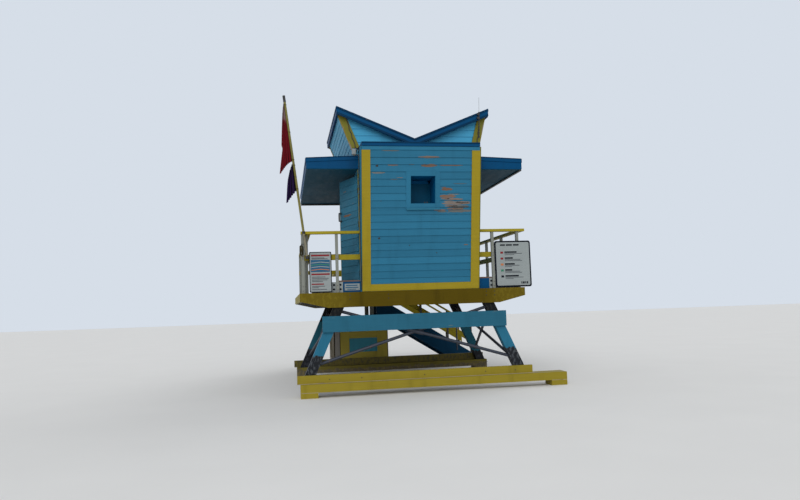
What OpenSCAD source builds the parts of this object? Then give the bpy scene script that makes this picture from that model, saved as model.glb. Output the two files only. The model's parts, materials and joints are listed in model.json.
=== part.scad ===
// Lifeguard tower on skids: a slant-backed clapboard cabin with side canopies and a butterfly roof,
// standing on a deck that splayed legs carry, with a ramp, a locker and flags on its seaward side.
// Millimetres. +Z is up, -Y is the landward back, +Y the seaward front, and the origin is on the
// ground below the middle of the whole tower's plan. The modules draw from the middle of the deck,
// and place() moves them there.

/* [Deck] */
// Width of the deck across its back edge
deck_w = 3660; // [3400:10:3900]
// Depth of the deck from its back edge to its seaward edge
deck_d = 4720; // [4600:10:4900]
// Height of the deck's walking surface above the ground
deck_top = 1605; // [1450:5:1750]
// Height of the edge beams round the deck
edge_beam_h = 235; // [220:1:260]
// Thickness of the planks used for edge beams, sill planks and the crossbeam
plank_t = 50; // [40:1:60]
// Thickness of the deck boards
deck_board_t = 38; // [25:1:45]
// Length of the sloped cut under each end of the back edge beam
beam_chamfer_l = 440; // [300:10:500]
// Height left at each end of the back edge beam
beam_end_h = 130; // [90:5:170]
// Number of joists in each row under the deck
joist_count = 8; // [6:1:10]
// Thickness of one joist
joist_t = 45; // [38:1:60]
// How far the joists and the landing's beams stop above the bearers' underside
joist_rise = 13; // [8:1:20]

/* [Skids and legs] */
// Height of the foot blocks under the skid timbers
foot_h = 85; // [60:5:110]
// Length of one foot block
foot_l = 265; // [200:5:300]
// Height of a skid timber
skid_h = 125; // [110:5:150]
// Width of a skid timber
skid_w = 280; // [260:5:300]
// Left end of both skid timbers
skid_left = -1845; // [-1950:5:-1800]
// Right end of the back skid timber
back_skid_right = 2450; // [2200:10:2500]
// Right end of the front skid timber
front_skid_right = 2040; // [2000:10:2200]
// Height of the sill planks that stand on the skid timbers
sill_h = 130; // [110:5:150]
// Half length of the sill planks
sill_half = 1895; // [1850:5:1950]
// Distance from the deck's back edge to the near face of the front legs
front_leg_y = 3000; // [2800:10:3200]
// Sideways offset of the front pair of legs
front_leg_shift = 110; // [0:5:120]
// Width of a leg measured level
leg_w = 169; // [140:1:180]
// Depth of a leg from back to front
leg_d = 140; // [120:5:150]
// Half spread of the back legs at the foot
leg_foot_x = 1745; // [1700:5:1780]
// Half spread of the back legs at the top
leg_top_x = 1228; // [1150:1:1300]
// Extra half spread of the front legs
front_leg_extra = 60; // [0:5:70]
// Height of the bearers that the legs carry
bearer_h = 197; // [150:1:200]
// Height of the crossbeam on the back legs
crossbeam_h = 248; // [220:1:260]
// Height of the crossbeam's lower edge above the ground
crossbeam_z = 990; // [950:5:1050]
// Half length of the crossbeam
crossbeam_half = 1490; // [1450:5:1550]
// Diameter of the brace pipes
brace_d = 50; // [40:1:60]

// Overhang of the skids beyond the back beam and the front sill plank
skid_over = 80; // [60:5:100]
// Depth of the back pipes' upper ends below the legs' tops
brace_drop = 45; // [35:5:80]
// Height of the back pipes' lower ends above the ground
brace_low_z = 470; // [430:10:520]
// Length of the sleeve where the back pipes cross
sleeve_l = 260; // [200:10:300]
// Diameter of the sleeve where the back pipes cross
sleeve_d = 72; // [64:1:80]
// Depth of the side pipes' upper ends below the legs' tops
side_brace_drop = 60; // [50:5:90]
// Height of the side pipes' lower ends above the ground
side_brace_low_z = 430; // [400:10:470]

/* [Cabin] */
// Width of the cabin
cabin_w = 1900; // [1850:10:1960]
// Sideways offset of the cabin from the middle of the deck
cabin_shift = 100; // [60:5:110]
// Distance from the deck's back edge to the foot of the back wall
cabin_back_y = 40; // [30:1:50]
// Distance from the deck's back edge to the front face of the cabin
cabin_front_y = 3650; // [3500:10:3700]
// Thickness of the walls
wall_t = 90; // [75:1:100]
// Height of the side walls above the deck
wall_h = 2185; // [2100:5:2250]
// How far the back wall leans out at its top
lean = 430; // [380:5:450]
// Thickness of the boards that close the ends of the leaning wall
cheek_t = 30; // [25:1:35]
// Height of the back wall above the deck
back_wall_h = 2244; // [2200:1:2260]
// Thickness of the cap over the leaning wall
cap_t = 63; // [50:1:75]
// Overhang of the cap beyond the leaning wall's top
cap_overhang = 20; // [10:1:30]
// Height of the window sill above the deck, measured up the wall
window_sill_h = 1390; // [1200:5:1450]
// Width of the window opening
window_w = 395; // [350:5:450]
// Height of the window opening
window_h = 430; // [380:5:480]
// Left edge of the window opening, from the middle of the cabin
window_left = -175; // [-250:5:-100]
// Width of the boards that case the window and the wall
casing_w = 75; // [60:1:90]
// Thickness of the trim boards
trim_t = 22; // [18:1:28]
// Width of the corner boards on the back wall
corner_board_w = 135; // [110:1:150]
// Height of the sill board along the foot of the back wall
sill_board_h = 110; // [90:1:130]
// How far the window's sill stands out from the casing
window_sill_out = 30; // [20:1:40]
// Thickness of the window's sill
window_sill_t = 25; // [20:1:30]
// Thickness of the boards that line the window's tunnel
lining_t = 20; // [16:1:25]
// Thickness of the hatch that closes the window's tunnel
hatch_t = 18; // [12:1:24]
// Width of the lookout window in the front wall
lookout_w = 1300; // [1100:10:1340]
// Height of the lookout window's sill above the deck
lookout_sill_h = 950; // [900:10:1050]
// Height of wall left between the lookout window and the roof
lookout_head_h = 65; // [50:5:120]

/* [Side door] */
// Distance from the foot of the back wall to the doorway in the left wall
side_door_y = 130; // [110:5:160]
// Width of the side doorway
side_door_w = 727; // [700:1:760]
// Height of wall left between the side doorway and the canopy's underside
side_door_head_h = 70; // [60:5:100]
// Thickness of the side door's leaf
side_door_t = 45; // [40:1:50]
// Gap round the side door's leaf
door_gap = 8; // [7:0.5:12]
// Gap between the side door's leaf and the deck
door_foot_gap = 12; // [8:1:20]
// Angle at which the side door stands ajar
side_door_ajar = 20; // [5:1:30]
// Diameter of a hinge barrel
hinge_barrel_d = 16; // [14:1:18]
// Diameter of a hinge pin
hinge_pin_d = 6; // [5:0.5:7]
// Radial play between a hinge pin and its knuckle
hinge_play = 0.08; // [0.05:0.01:0.1]
// Length of a hinge barrel
hinge_l = 90; // [80:2:100]
// Length of a hinge's middle knuckle
knuckle_l = 30; // [26:1:34]
// Reach of a hinge plate from the pin
hinge_plate_w = 36; // [32:1:38]
// Thickness of a hinge plate
hinge_plate_t = 4; // [3:0.5:4.5]
// Height of the middle of the door handle above the deck
handle_z = 1290; // [1100:10:1350]
// Height between the feet of the door handle
handle_l = 135; // [120:5:150]
// How far the door handle stands off the leaf
handle_out = 50; // [40:1:60]
// Diameter of the door handle's bar
handle_d = 16; // [14:1:18]
// Distance of the door handle from the leaf's free edge
handle_in = 50; // [40:1:70]

/* [Flared roof] */
// Sideways offset of the roof from the middle of the deck
roof_shift = 55; // [40:5:90]
// Step of the flared box's foot beyond the cabin's side walls
flare_step = 60; // [50:1:70]
// Length of the flared box from back to front
flare_l = 2060; // [1900:10:2200]
// Half width of the butterfly roof at its tips
roof_half = 1254; // [1250:1:1290]
// Height of the roof's tips above the ground
roof_tip_z = 4566; // [4540:1:4590]
// Height of the top of the roof's valley above the ground
roof_valley_z = 4052; // [4040:1:4080]
// Height of the boards round the roof, measured plumb
roof_board_h = 125; // [115:1:140]
// Thickness of the boards round the roof
roof_board_t = 25; // [20:1:30]
// Thickness of the roof panels, measured plumb
roof_panel_t = 60; // [50:1:70]
// Width of the boards that cover the gable corners
gable_trim_w = 130; // [110:1:150]
// Overhang of the roof beyond the flared box at each gable
roof_overhang = 100; // [80:5:130]

/* [Canopies] */
// Reach of each canopy from the cabin wall
canopy_reach = 840; // [800:5:880]
// Depth of the canopy at its outer edge
canopy_edge_h = 176; // [160:1:190]
// Depth of the canopy at the cabin wall
canopy_root_h = 210; // [200:1:220]
// Thickness of the canopy's fascia boards and rafters
canopy_board_t = 38; // [30:1:45]
// Thickness of the canopy's roofing and soffit sheets
canopy_sheet_t = 18; // [12:1:24]

/* [Railings] */
// Height of the top of the railings above the deck
rail_h = 972; // [940:2:1000]
// Distance from the deck's back edge to the outer face of the railing posts
rail_inset = 55; // [50:1:60]
// Width of the flat top rail
top_rail_w = 89; // [80:1:95]
// Thickness of the flat top rail
top_rail_t = 42; // [35:1:45]
// Overhang of the top rail beyond the outer face of the posts
rail_over = 22; // [15:1:26]
// Height of a middle rail's board
rail_board_h = 84; // [70:1:95]
// Height of the top of the middle rail above the deck
mid_rail_h = 602; // [560:2:640]
// Thickness of a middle rail's board
rail_t = 38; // [32:1:42]
// Width of a square railing post
post_w = 45; // [42:1:48]
// Distance from the deck's left edge to the outer face of the left railing's posts
left_rail_in = 100; // [95:1:110]
// Overhang of the right railing's top rail beyond its posts
right_rail_over = 44; // [30:1:48]
// Height of the kick boards
kick_h = 190; // [170:2:200]
// Thickness of the board on top of the kick boards
kick_cap_t = 23; // [18:1:28]
// Thickness of the kick boards and sign boards
board_t = 18; // [12:1:20]
// Width of the left sign board
left_sign_w = 349; // [320:1:360]
// Height of the left sign board
left_sign_h = 637; // [600:1:660]
// Distance from the deck's left edge to the left sign board
left_sign_in = 156; // [154:1:160]
// Width of the right sign board
right_sign_w = 618; // [580:1:640]
// Height of the right sign board
right_sign_h = 762; // [720:1:790]
// Distance from the deck's right edge to the near side of the right sign board
right_sign_in = 478; // [470:1:490]
// Gap between the sign boards and the deck
sign_gap = 10; // [5:1:20]

/* [Flags and antenna] */
// Diameter of the flagpole
pole_d = 38; // [32:1:42]
// Height of the flagpole's top above the ground
pole_top_z = 4745; // [4650:5:4800]
// Height of the flagpole's foot above the ground
pole_foot_z = 2150; // [2120:5:2180]
// Sideways lean of the flagpole over one metre of height
pole_lean = 122; // [100:1:130]
// Distance from the deck's left edge to the flagpole at the railing's top
pole_in = 76; // [70:1:80]
// Depth of a hanging flag's folds from back to front
flag_t = 110; // [80:5:120]
// Height of the head of the red flag's hoist above the ground
red_flag_high = 4630; // [4560:5:4640]
// Height of the foot of the red flag's hoist above the ground
red_flag_low = 3680; // [3665:5:3700]
// Reach of the red flag beside the pole
red_flag_w = 215; // [200:5:230]
// How far the red flag's corner hangs below its hoist
red_flag_drop = 200; // [150:5:240]
// Height of the head of the purple flag's hoist above the ground
purple_flag_high = 3660; // [3600:5:3665]
// Height of the foot of the purple flag's hoist above the ground
purple_flag_low = 3215; // [3150:5:3260]
// Reach of the purple flag beside the pole
purple_flag_w = 190; // [160:5:205]
// How far the purple flag's corner hangs below its hoist
purple_flag_drop = 190; // [150:5:230]
// Height of the antenna's foot above the ground
antenna_foot_z = 4050; // [4000:5:4100]
// Distance of the antenna to the right of the deck's middle
antenna_x = 1125; // [1100:1:1140]
// Height of the antenna's top above the ground
antenna_top_z = 4745; // [4700:5:4800]
// Diameter of the antenna's whip
whip_d = 16; // [12:1:20]

/* [Landing, ramp and locker] */
// Width of the landing and the ramp from back to front
ramp_w = 1180; // [1100:10:1250]
// Fall of the ramp for each millimetre along it
ramp_slope = 0.62; // [0.58:0.01:0.66]
// Plumb height of the ramp's side boards
ramp_side_h = 420; // [380:5:430]
// Thickness of the ramp's side boards
ramp_side_t = 45; // [38:1:50]
// Thickness of the ramp's boards, measured plumb
ramp_board_t = 58; // [45:1:65]
// Length of the landing along the deck's front edge
landing_l = 1010; // [950:10:1050]
// Width of the landing's square posts
landing_post_w = 90; // [80:1:100]
// Height of the ramp's kick boards
ramp_kick_h = 140; // [120:2:160]
// Height of the ramp's kick boards' lower edge above the ramp
ramp_kick_z = 115; // [90:5:130]
// Height of the ramp's rails
ramp_rail_h = 80; // [70:1:90]
// Height of the ramp's rails' lower edge above the ramp
ramp_rail_z = 440; // [400:5:480]
// Thickness of the ramp's rails
ramp_rail_t = 38; // [32:1:42]
// Width of the ramp's posts
ramp_post_w = 60; // [50:1:70]
// Distance along X from the landing to the head of the ramp's rails
ramp_rail_from = 120; // [100:5:130]
// Distance along X from the landing to the foot of the ramp's rails
ramp_rail_to = 2280; // [2250:5:2290]
// Gap between the locker and the ramp's side boards over it
locker_gap = 7; // [5:1:60]
// Distance from the deck's middle to the locker's left side
locker_left = 1010; // [980:5:1040]
// Length of the locker
locker_l = 1200; // [1150:10:1250]
// Depth of the locker from back to front
locker_d = 1500; // [1400:10:1540]
// Distance from the deck's front edge to the locker's near side
locker_in = 370; // [340:5:400]
// Length of the sunk panel in the locker's long sides
locker_panel_l = 620; // [580:10:660]
// Distance from the locker's left side to its sunk panel
locker_panel_in = 338; // [300:2:360]
// Height of the sunk panels above the ground
locker_panel_z = 380; // [350:5:420]
// Height of the sunk panels
locker_panel_h = 302; // [280:2:340]
// Depth of the sunk panels
locker_panel_d = 12; // [8:1:16]

/* [Hidden] */

back_y = -deck_d / 2;
front_y = deck_d / 2;
half_w = deck_w / 2;
beam_z = deck_top - edge_beam_h;
board_z = deck_top - deck_board_t;
skid_z = foot_h;
leg_z = foot_h + skid_h;
leg_y = back_y + plank_t;
far_leg_y = back_y + front_leg_y;
bearer_z = board_z - bearer_h;
leg_lean = (leg_foot_x - leg_top_x) / (bearer_z - leg_z);

cab_l = cabin_shift - cabin_w / 2;
cab_r = cabin_shift + cabin_w / 2;
cab_back = back_y + cabin_back_y;
cab_front = back_y + cabin_front_y;
wall_top = deck_top + wall_h;
back_top = deck_top + back_wall_h;
lean_rate = lean / back_wall_h;
lean_angle = atan(lean_rate);
gable_front_y = cab_back + flare_l;

canopy_z = wall_top - canopy_root_h;
canopy_l = cab_l - canopy_reach;

door_y0 = cab_back + side_door_y;
door_y1 = door_y0 + side_door_w;
door_head = canopy_z - side_door_head_h;
hinge_r = hinge_barrel_d / 2;
hinge_heights = [300, 1100, 1650];
leaf_y0 = door_gap / 2;
leaf_y1 = side_door_w - 3 * door_gap / 2;

rail_top = deck_top + rail_h;
mid_top = deck_top + mid_rail_h;
rail_out = back_y + rail_inset;
rail_in = rail_out + post_w + rail_t;
front_out = front_y - rail_over - 4;
landing_out = front_y + ramp_w - rail_over - 4;
corner_in = 60;

ramp_y = front_y;
ramp_foot = deck_top / ramp_slope;
ramp_posts = [140, 1010, 1620, 2180];
play = 0.3;

// A box between two corners, with X and Y in any order
module block(x0, x1, y0, y1, z0, z1)
  translate([min(x0, x1), min(y0, y1), z0]) cube([abs(x1 - x0), abs(y1 - y0), z1 - z0]);

// An outline in X and Z, drawn out from y0 to y1
module slab_xz(points, y0, y1)
  translate([0, y1, 0]) rotate([90, 0, 0]) linear_extrude(y1 - y0) polygon(points);

// An outline in Y and Z, drawn out from x0 to x1
module slab_yz(points, x0, x1)
  translate([x0, 0, 0]) rotate([90, 0, 90]) linear_extrude(x1 - x0) polygon(points);

// A round bar from point a to point b
module bar(a, b, d) {
  v = b - a;
  len = norm(v);
  translate(a) rotate([0, acos(v.z / len), atan2(v.y, v.x)]) cylinder(h = len, d = d, $fn = 32);
}

// Middle of a back leg at height z, on side s
function back_leg_x(z, s) = s * (leg_foot_x - leg_lean * (z - leg_z));

// Middle of a front leg at height z, on side s
function front_leg_x(z, s) = front_leg_shift + s * (leg_foot_x + front_leg_extra - leg_lean * (z - leg_z));

// A splayed leg, cut level at its foot and top
module leg(x_foot, x_top, y)
  slab_xz([
    [x_foot - leg_w / 2, leg_z], [x_foot + leg_w / 2, leg_z],
    [x_top + leg_w / 2, bearer_z], [x_top - leg_w / 2, bearer_z]
  ], y, y + leg_d);

module back_leg(s) leg(back_leg_x(leg_z, s), back_leg_x(bearer_z, s), leg_y);
module front_leg(s) leg(front_leg_x(leg_z, s), front_leg_x(bearer_z, s), far_leg_y);

module back_left_leg() color("#4a9ab8") back_leg(-1);
module back_right_leg() color("#4a9ab8") back_leg(1);
module front_left_leg() color("#3b7f9b") front_leg(-1);
module front_right_leg() color("#3b7f9b") front_leg(1);

// A skid timber on two foot blocks
module skid(x0, x1, y0) {
  block(x0, x1, y0, y0 + skid_w, skid_z, skid_z + skid_h);
  block(x0, x0 + foot_l, y0, y0 + skid_w, 0, skid_z);
  block(x1 - foot_l, x1, y0, y0 + skid_w, 0, skid_z);
}

module back_skid() color("#d6b92c") skid(skid_left, back_skid_right, back_y - skid_over);
module front_skid() color("#c3aa2c")
  skid(skid_left, front_skid_right, far_leg_y + leg_d + plank_t + skid_over - skid_w);

// The planks that stand on the skids, outside the legs
module sill_planks() color("#d6b92c") {
  y = far_leg_y + leg_d;
  block(-sill_half, sill_half, back_y, leg_y, leg_z, leg_z + sill_h);
  block(-sill_half, sill_half + front_leg_shift, y, y + plank_t, leg_z, leg_z + sill_h);
}

module crossbeam() color("#45a3c0")
  block(-crossbeam_half, crossbeam_half, back_y, leg_y, crossbeam_z, crossbeam_z + crossbeam_h);

// Crossed pipes between the back legs, with a sleeve where they cross
module back_brace() color("#8b8f92") {
  y = leg_y + leg_d / 2;
  high = bearer_z - brace_drop;
  low = brace_low_z;
  a = [back_leg_x(high, -1), y, high];
  b = [back_leg_x(low, 1), y, low];
  c = [back_leg_x(low, -1), y, low];
  d = [back_leg_x(high, 1), y, high];
  dir = (b - a) / norm(b - a);
  mid = [0, y, a.z + (b.z - a.z) * (0 - a.x) / (b.x - a.x)];
  difference() {
    union() {
      bar(a, b, brace_d);
      bar(c, d, brace_d);
      bar(mid - dir * sleeve_l / 2, mid + dir * sleeve_l / 2, sleeve_d);
    }
    back_leg(-1);
    back_leg(1);
  }
}

// Crossed pipes along one side, between a back leg and a front leg
module side_brace(s) {
  y0 = leg_y + leg_d / 2;
  y1 = far_leg_y + leg_d / 2;
  high = bearer_z - side_brace_drop;
  low = side_brace_low_z;
  difference() {
    union() {
      bar([back_leg_x(low, s), y0, low], [front_leg_x(high, s), y1, high], brace_d);
      bar([back_leg_x(high, s), y0, high], [front_leg_x(low, s), y1, low], brace_d);
    }
    back_leg(s);
    front_leg(s);
  }
}

module left_brace() color("#8b8f92") side_brace(-1);
module right_brace() color("#8b8f92") side_brace(1);

// Height of the sloped cut under the deck's beams at a distance x from the middle
function cut_z(x) =
  max(beam_z, beam_z + (edge_beam_h - beam_end_h) * (abs(x) - half_w + beam_chamfer_l) / beam_chamfer_l);

// A cross beam whose ends follow the sloped cut
module cross_beam(half, top, low, y0, y1)
  slab_xz([
    [-half, top], [-half, cut_z(half)], [-half_w + beam_chamfer_l, low],
    [half_w - beam_chamfer_l, low], [half, cut_z(half)], [half, top]
  ], y0, y1);

module deck_bearers() color("#6f6a45")
  for (y = [leg_y, far_leg_y])
    cross_beam(half_w - plank_t, board_z, bearer_z, y, y + leg_d);

module back_edge_beam() color("#c9ab2b") cross_beam(half_w, deck_top, beam_z, back_y, leg_y);
module front_edge_beam() color("#c9ab2b")
  cross_beam(half_w, deck_top, beam_z, front_y - plank_t, front_y);

// The shallow beams along the deck's sides
module side_edge_beams() color("#b39a2a")
  for (x = [-half_w, half_w - plank_t])
    block(x, x + plank_t, leg_y, front_y - plank_t, deck_top - beam_end_h, deck_top);

// Joists from back to front, whose depth follows the sloped cut
module deck_joists() color("#6f6a45") {
  span = deck_w - 2 * plank_t - joist_t;
  for (i = [0 : joist_count - 1]) {
    x = -half_w + plank_t + span * i / (joist_count - 1);
    low = max(beam_z + joist_rise, cut_z(max(abs(x), abs(x + joist_t))));
    block(x, x + joist_t, leg_y + leg_d, far_leg_y, low, board_z - play);
    block(x, x + joist_t, far_leg_y + leg_d, front_y - plank_t, low, board_z - play);
  }
}

module deck_boards() color("#8a8468")
  block(-half_w + plank_t, half_w - plank_t, leg_y, front_y - plank_t, board_z, deck_top);

// Turn the leaning wall's own frame, with its foot on the deck, into place
module on_back_wall()
  translate([cabin_shift, cab_back, deck_top]) rotate([lean_angle, 0, 0]) children();

slant_h = back_wall_h / cos(lean_angle);
window_x0 = cabin_shift + window_left;
window_x1 = window_x0 + window_w;
window_z0 = deck_top + window_sill_h * cos(lean_angle);
window_z1 = deck_top + (window_sill_h + window_h) * cos(lean_angle);
window_in = cab_back + wall_t - hatch_t;

// The leaning wall's outer face at height z
function back_face(z) = cab_back - lean_rate * (z - deck_top);

// The leaning wall, cut level at the foot and the top, with the window's tunnel cut through
module back_wall() color("#3f86ad")
  difference() {
    slab_yz([
      [cab_back, deck_top], [cab_back - lean, back_top],
      [cab_back - lean + wall_t, back_top], [cab_back + wall_t, deck_top]
    ], cab_l + cheek_t, cab_r - cheek_t);
    hole = lining_t + play;
    block(window_x0 - hole, window_x1 + hole, cab_back - lean - wall_t, cab_back + 2 * wall_t,
      window_z0 - hole, window_z1 + hole);
    left_wall_pier();
    right_wall();
  }

// The closed ends of the space between the leaning wall and the side walls
module back_wall_cheeks() color("#3f86ad")
  for (x = [cab_l, cab_r - cheek_t])
    slab_yz([[cab_back, deck_top], [cab_back - lean, back_top], [cab_back, back_top]], x, x + cheek_t);

module back_wall_cap() color("#123f7d")
  difference() {
    block(cab_l, cab_r, cab_back - lean - cap_overhang, cab_back + wall_t, back_top, back_top + cap_t);
    left_flare_wall();
    right_flare_wall();
  }

// Corner boards and the sill board on the leaning wall
module back_wall_trim() color("#c9ab2b")
  on_back_wall() {
    low = 8;
    high = slant_h - 60;
    for (x = [-cabin_w / 2, cabin_w / 2 - corner_board_w])
      translate([x, -trim_t, low]) cube([corner_board_w, trim_t, high - low]);
    translate([-cabin_w / 2, -trim_t, low]) cube([cabin_w, trim_t, sill_board_h]);
  }

// The casing and sill on the leaning wall, and the level boards that line the window's tunnel
module window_frame() color("#3a7fa8")
  difference() {
    union() {
      on_back_wall() {
        translate([window_left - casing_w, -trim_t - play, window_sill_h - casing_w])
          cube([window_w + 2 * casing_w, trim_t, window_h + 2 * casing_w]);
        translate([window_left - casing_w, -trim_t - window_sill_out - play, window_sill_h - casing_w - window_sill_t])
          cube([window_w + 2 * casing_w, trim_t + window_sill_out, window_sill_t]);
      }
      slab_yz([
        [back_face(window_z0 - lining_t) - 2, window_z0 - lining_t],
        [back_face(window_z1 + lining_t) - 2, window_z1 + lining_t],
        [window_in, window_z1 + lining_t], [window_in, window_z0 - lining_t]
      ], window_x0 - lining_t, window_x1 + lining_t);
    }
    block(window_x0, window_x1, cab_back - lean - wall_t, cab_back + 2 * wall_t, window_z0, window_z1);
  }

// The hatch that closes the tunnel's inner end
module window_hatch() color("#0f2f55")
  block(window_x0 - lining_t, window_x1 + lining_t, window_in, window_in + hatch_t,
    window_z0 - lining_t, window_z1 + lining_t);

// The left wall, split before, over and beside the side doorway
module left_wall() color("#3f86ad")
  block(cab_l, cab_l + wall_t, door_y1, cab_front, deck_top, wall_top);
module left_wall_pier() color("#3f86ad")
  block(cab_l, cab_l + wall_t, cab_back, door_y0, deck_top, wall_top);
module left_wall_header() color("#3f86ad")
  block(cab_l, cab_l + wall_t, door_y0, door_y1, door_head, wall_top);
module right_wall() color("#3f86ad")
  block(cab_r - wall_t, cab_r, cab_back, cab_front, deck_top, wall_top);

module front_wall() color("#3f86ad")
  difference() {
    block(cab_l + wall_t, cab_r - wall_t, cab_front - wall_t, cab_front, deck_top, canopy_z);
    block(cabin_shift - lookout_w / 2, cabin_shift + lookout_w / 2, cab_front - 2 * wall_t, cab_front + wall_t,
      deck_top + lookout_sill_h, canopy_z - lookout_head_h);
  }

// Put the side door's hinge line, drawn at the origin with the closed door along +Y, in its place
module on_hinge_line() translate([cab_l - hinge_r, door_y0 + door_gap / 2, deck_top]) children();
module ajar() on_hinge_line() rotate([0, 0, side_door_ajar]) children();

module side_door() color("#3f86ad")
  ajar() block(hinge_r, hinge_r + side_door_t, leaf_y0, leaf_y1, door_foot_gap, door_head - deck_top - door_gap);

// Half a hinge: its knuckles between the heights in each pair, and its plate on side s of the pin
module hinge_half(s, z, knuckles) {
  clear = s * (hinge_r + 1);
  block(hinge_r - hinge_plate_t, hinge_r, clear, s * hinge_plate_w, z - hinge_l / 2, z + hinge_l / 2);
  for (k = knuckles) {
    translate([0, 0, z + k[0]]) cylinder(h = k[1] - k[0], d = hinge_barrel_d, $fn = 48);
    block(hinge_r - hinge_plate_t, hinge_r, 0, clear, z + k[0], z + k[1]);
  }
}

// The fixed hinge halves on the wall, with their pins
module door_hinges() color("#4b4a46")
  on_hinge_line()
    for (z = hinge_heights) {
      hinge_half(-1, z, [[-hinge_l / 2, -knuckle_l / 2 - 0.5], [knuckle_l / 2 + 0.5, hinge_l / 2]]);
      translate([0, 0, z - hinge_l / 2]) cylinder(h = hinge_l, d = hinge_pin_d, $fn = 48);
    }

// The moving hinge halves on the leaf, and the handle by its free edge
module door_hardware() color("#4b4a46")
  ajar() {
    difference() {
      for (z = hinge_heights)
        hinge_half(1, z, [[-knuckle_l / 2, knuckle_l / 2]]);
      translate([0, 0, hinge_heights[0] - hinge_l])
        cylinder(h = hinge_heights[2] - hinge_heights[0] + 2 * hinge_l, d = hinge_pin_d + 2 * hinge_play, $fn = 48);
    }
    y = leaf_y1 - handle_in;
    grip = [hinge_r - handle_out, y, handle_z];
    half = [0, 0, handle_l / 2];
    for (p = [half, -half])
      bar([hinge_r, y, handle_z] + p, grip + p, handle_d);
    bar(grip - half - [0, 0, handle_d / 2], grip + half + [0, 0, handle_d / 2], handle_d);
  }

// Outer faces of the flared box at its eaves and at its foot
eave_half = roof_half - roof_board_t - 0.3;
eave_l = roof_shift - eave_half;
eave_r = roof_shift + eave_half;
base_l = cab_l - flare_step;
base_r = cab_r + flare_step;

// Height of the roof panels' underside at a distance from the valley
roof_rate = (roof_tip_z - roof_valley_z) / roof_half;
function under_roof(x) = roof_valley_z - roof_panel_t + roof_rate * abs(x - roof_shift);
function over_roof(x) = roof_valley_z + roof_rate * abs(x - roof_shift);

// Top of the walls that carry the roof panels
function wall_head(x) = under_roof(x) - play;

// Outer face of the flared walls at height z, on side s
function flare_x(z, s) =
  let (foot = s < 0 ? base_l : base_r, top = s < 0 ? eave_l : eave_r)
  foot + (top - foot) * (z - wall_top) / (under_roof(top) - wall_top);

// A flared side wall that leans outward from the canopy's root to the eave
module flare_wall(top, s)
  slab_xz([
    [flare_x(wall_top, s), wall_top], [top, wall_head(top)],
    [top - s * wall_t, wall_head(top - s * wall_t)], [flare_x(wall_top, s) - s * wall_t, wall_top]
  ], cab_back, gable_front_y);

module left_flare_wall() color("#52a6cc") flare_wall(eave_l, -1);
module right_flare_wall() color("#52a6cc") flare_wall(eave_r, 1);

// A gable between the flared walls, from height z0 up to the underside of the roof
module gable(y0, z0)
  slab_xz([
    [flare_x(z0, -1) + wall_t, z0], [flare_x(z0, 1) - wall_t, z0],
    [eave_r - wall_t, wall_head(eave_r - wall_t)], [roof_shift, wall_head(roof_shift)],
    [eave_l + wall_t, wall_head(eave_l + wall_t)]
  ], y0, y0 + wall_t);

module back_gable() color("#4a97c2") gable(cab_back, back_top + cap_t);
module front_gable() color("#4a97c2") gable(gable_front_y - wall_t, wall_top);

// Slanted boards that cover the gable corners, from height z0 up
module gable_boards(y, z0)
  for (e = [[eave_l, -1], [eave_r, 1]])
    slab_xz([
      [flare_x(z0, e[1]), z0], [e[0], wall_head(e[0])],
      [e[0] - e[1] * gable_trim_w, wall_head(e[0] - e[1] * gable_trim_w)],
      [flare_x(z0, e[1]) - e[1] * gable_trim_w, z0]
    ], y, y + trim_t);

module gable_trim() color("#c9ab2b") {
  gable_boards(cab_back - trim_t, back_top + cap_t);
  gable_boards(gable_front_y, wall_top);
}

roof_back = cab_back - roof_overhang - roof_board_t;
roof_front = gable_front_y + roof_overhang + roof_board_t;

// One wing of the butterfly roof, from the valley to the eave
module roof_panel(s) {
  edge = roof_shift + s * (roof_half - roof_board_t);
  slab_xz([
    [roof_shift, over_roof(roof_shift)], [edge, over_roof(edge)],
    [edge, under_roof(edge)], [roof_shift, under_roof(roof_shift)]
  ], roof_back + roof_board_t, roof_front - roof_board_t);
}

module left_roof_panel() color("#1f5f96") roof_panel(-1);
module right_roof_panel() color("#1f5f96") roof_panel(1);

// The two V-shaped boards over the ends of the roof
module rake_boards() color("#14549a")
  for (y = [roof_back, roof_front - roof_board_t])
    slab_xz([
      [roof_shift - roof_half, over_roof(roof_shift - roof_half)], [roof_shift, over_roof(roof_shift)],
      [roof_shift + roof_half, over_roof(roof_shift + roof_half)],
      [roof_shift + roof_half, over_roof(roof_shift + roof_half) - roof_board_h],
      [roof_shift, over_roof(roof_shift) - roof_board_h],
      [roof_shift - roof_half, over_roof(roof_shift - roof_half) - roof_board_h]
    ], y, y + roof_board_t);

module eave_boards() color("#14549a")
  for (s = [-1, 1]) {
    a = roof_shift + s * roof_half;
    b = roof_shift + s * (roof_half - roof_board_t);
    slab_xz([
      [a, over_roof(b)], [b, over_roof(b)],
      [b, over_roof(b) - roof_board_h], [a, over_roof(b) - roof_board_h]
    ], roof_back + roof_board_t, roof_front - roof_board_t);
  }

// Outline of a canopy, with its flat root under the flared wall
function canopy_outline(s, root, inset) = [
  [root, canopy_z + inset], [root, wall_top - inset], [s < 0 ? base_l : base_r, wall_top - inset],
  [root + s * (canopy_reach - inset), canopy_z + canopy_edge_h - inset],
  [root + s * (canopy_reach - inset), canopy_z + inset]
];

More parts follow.
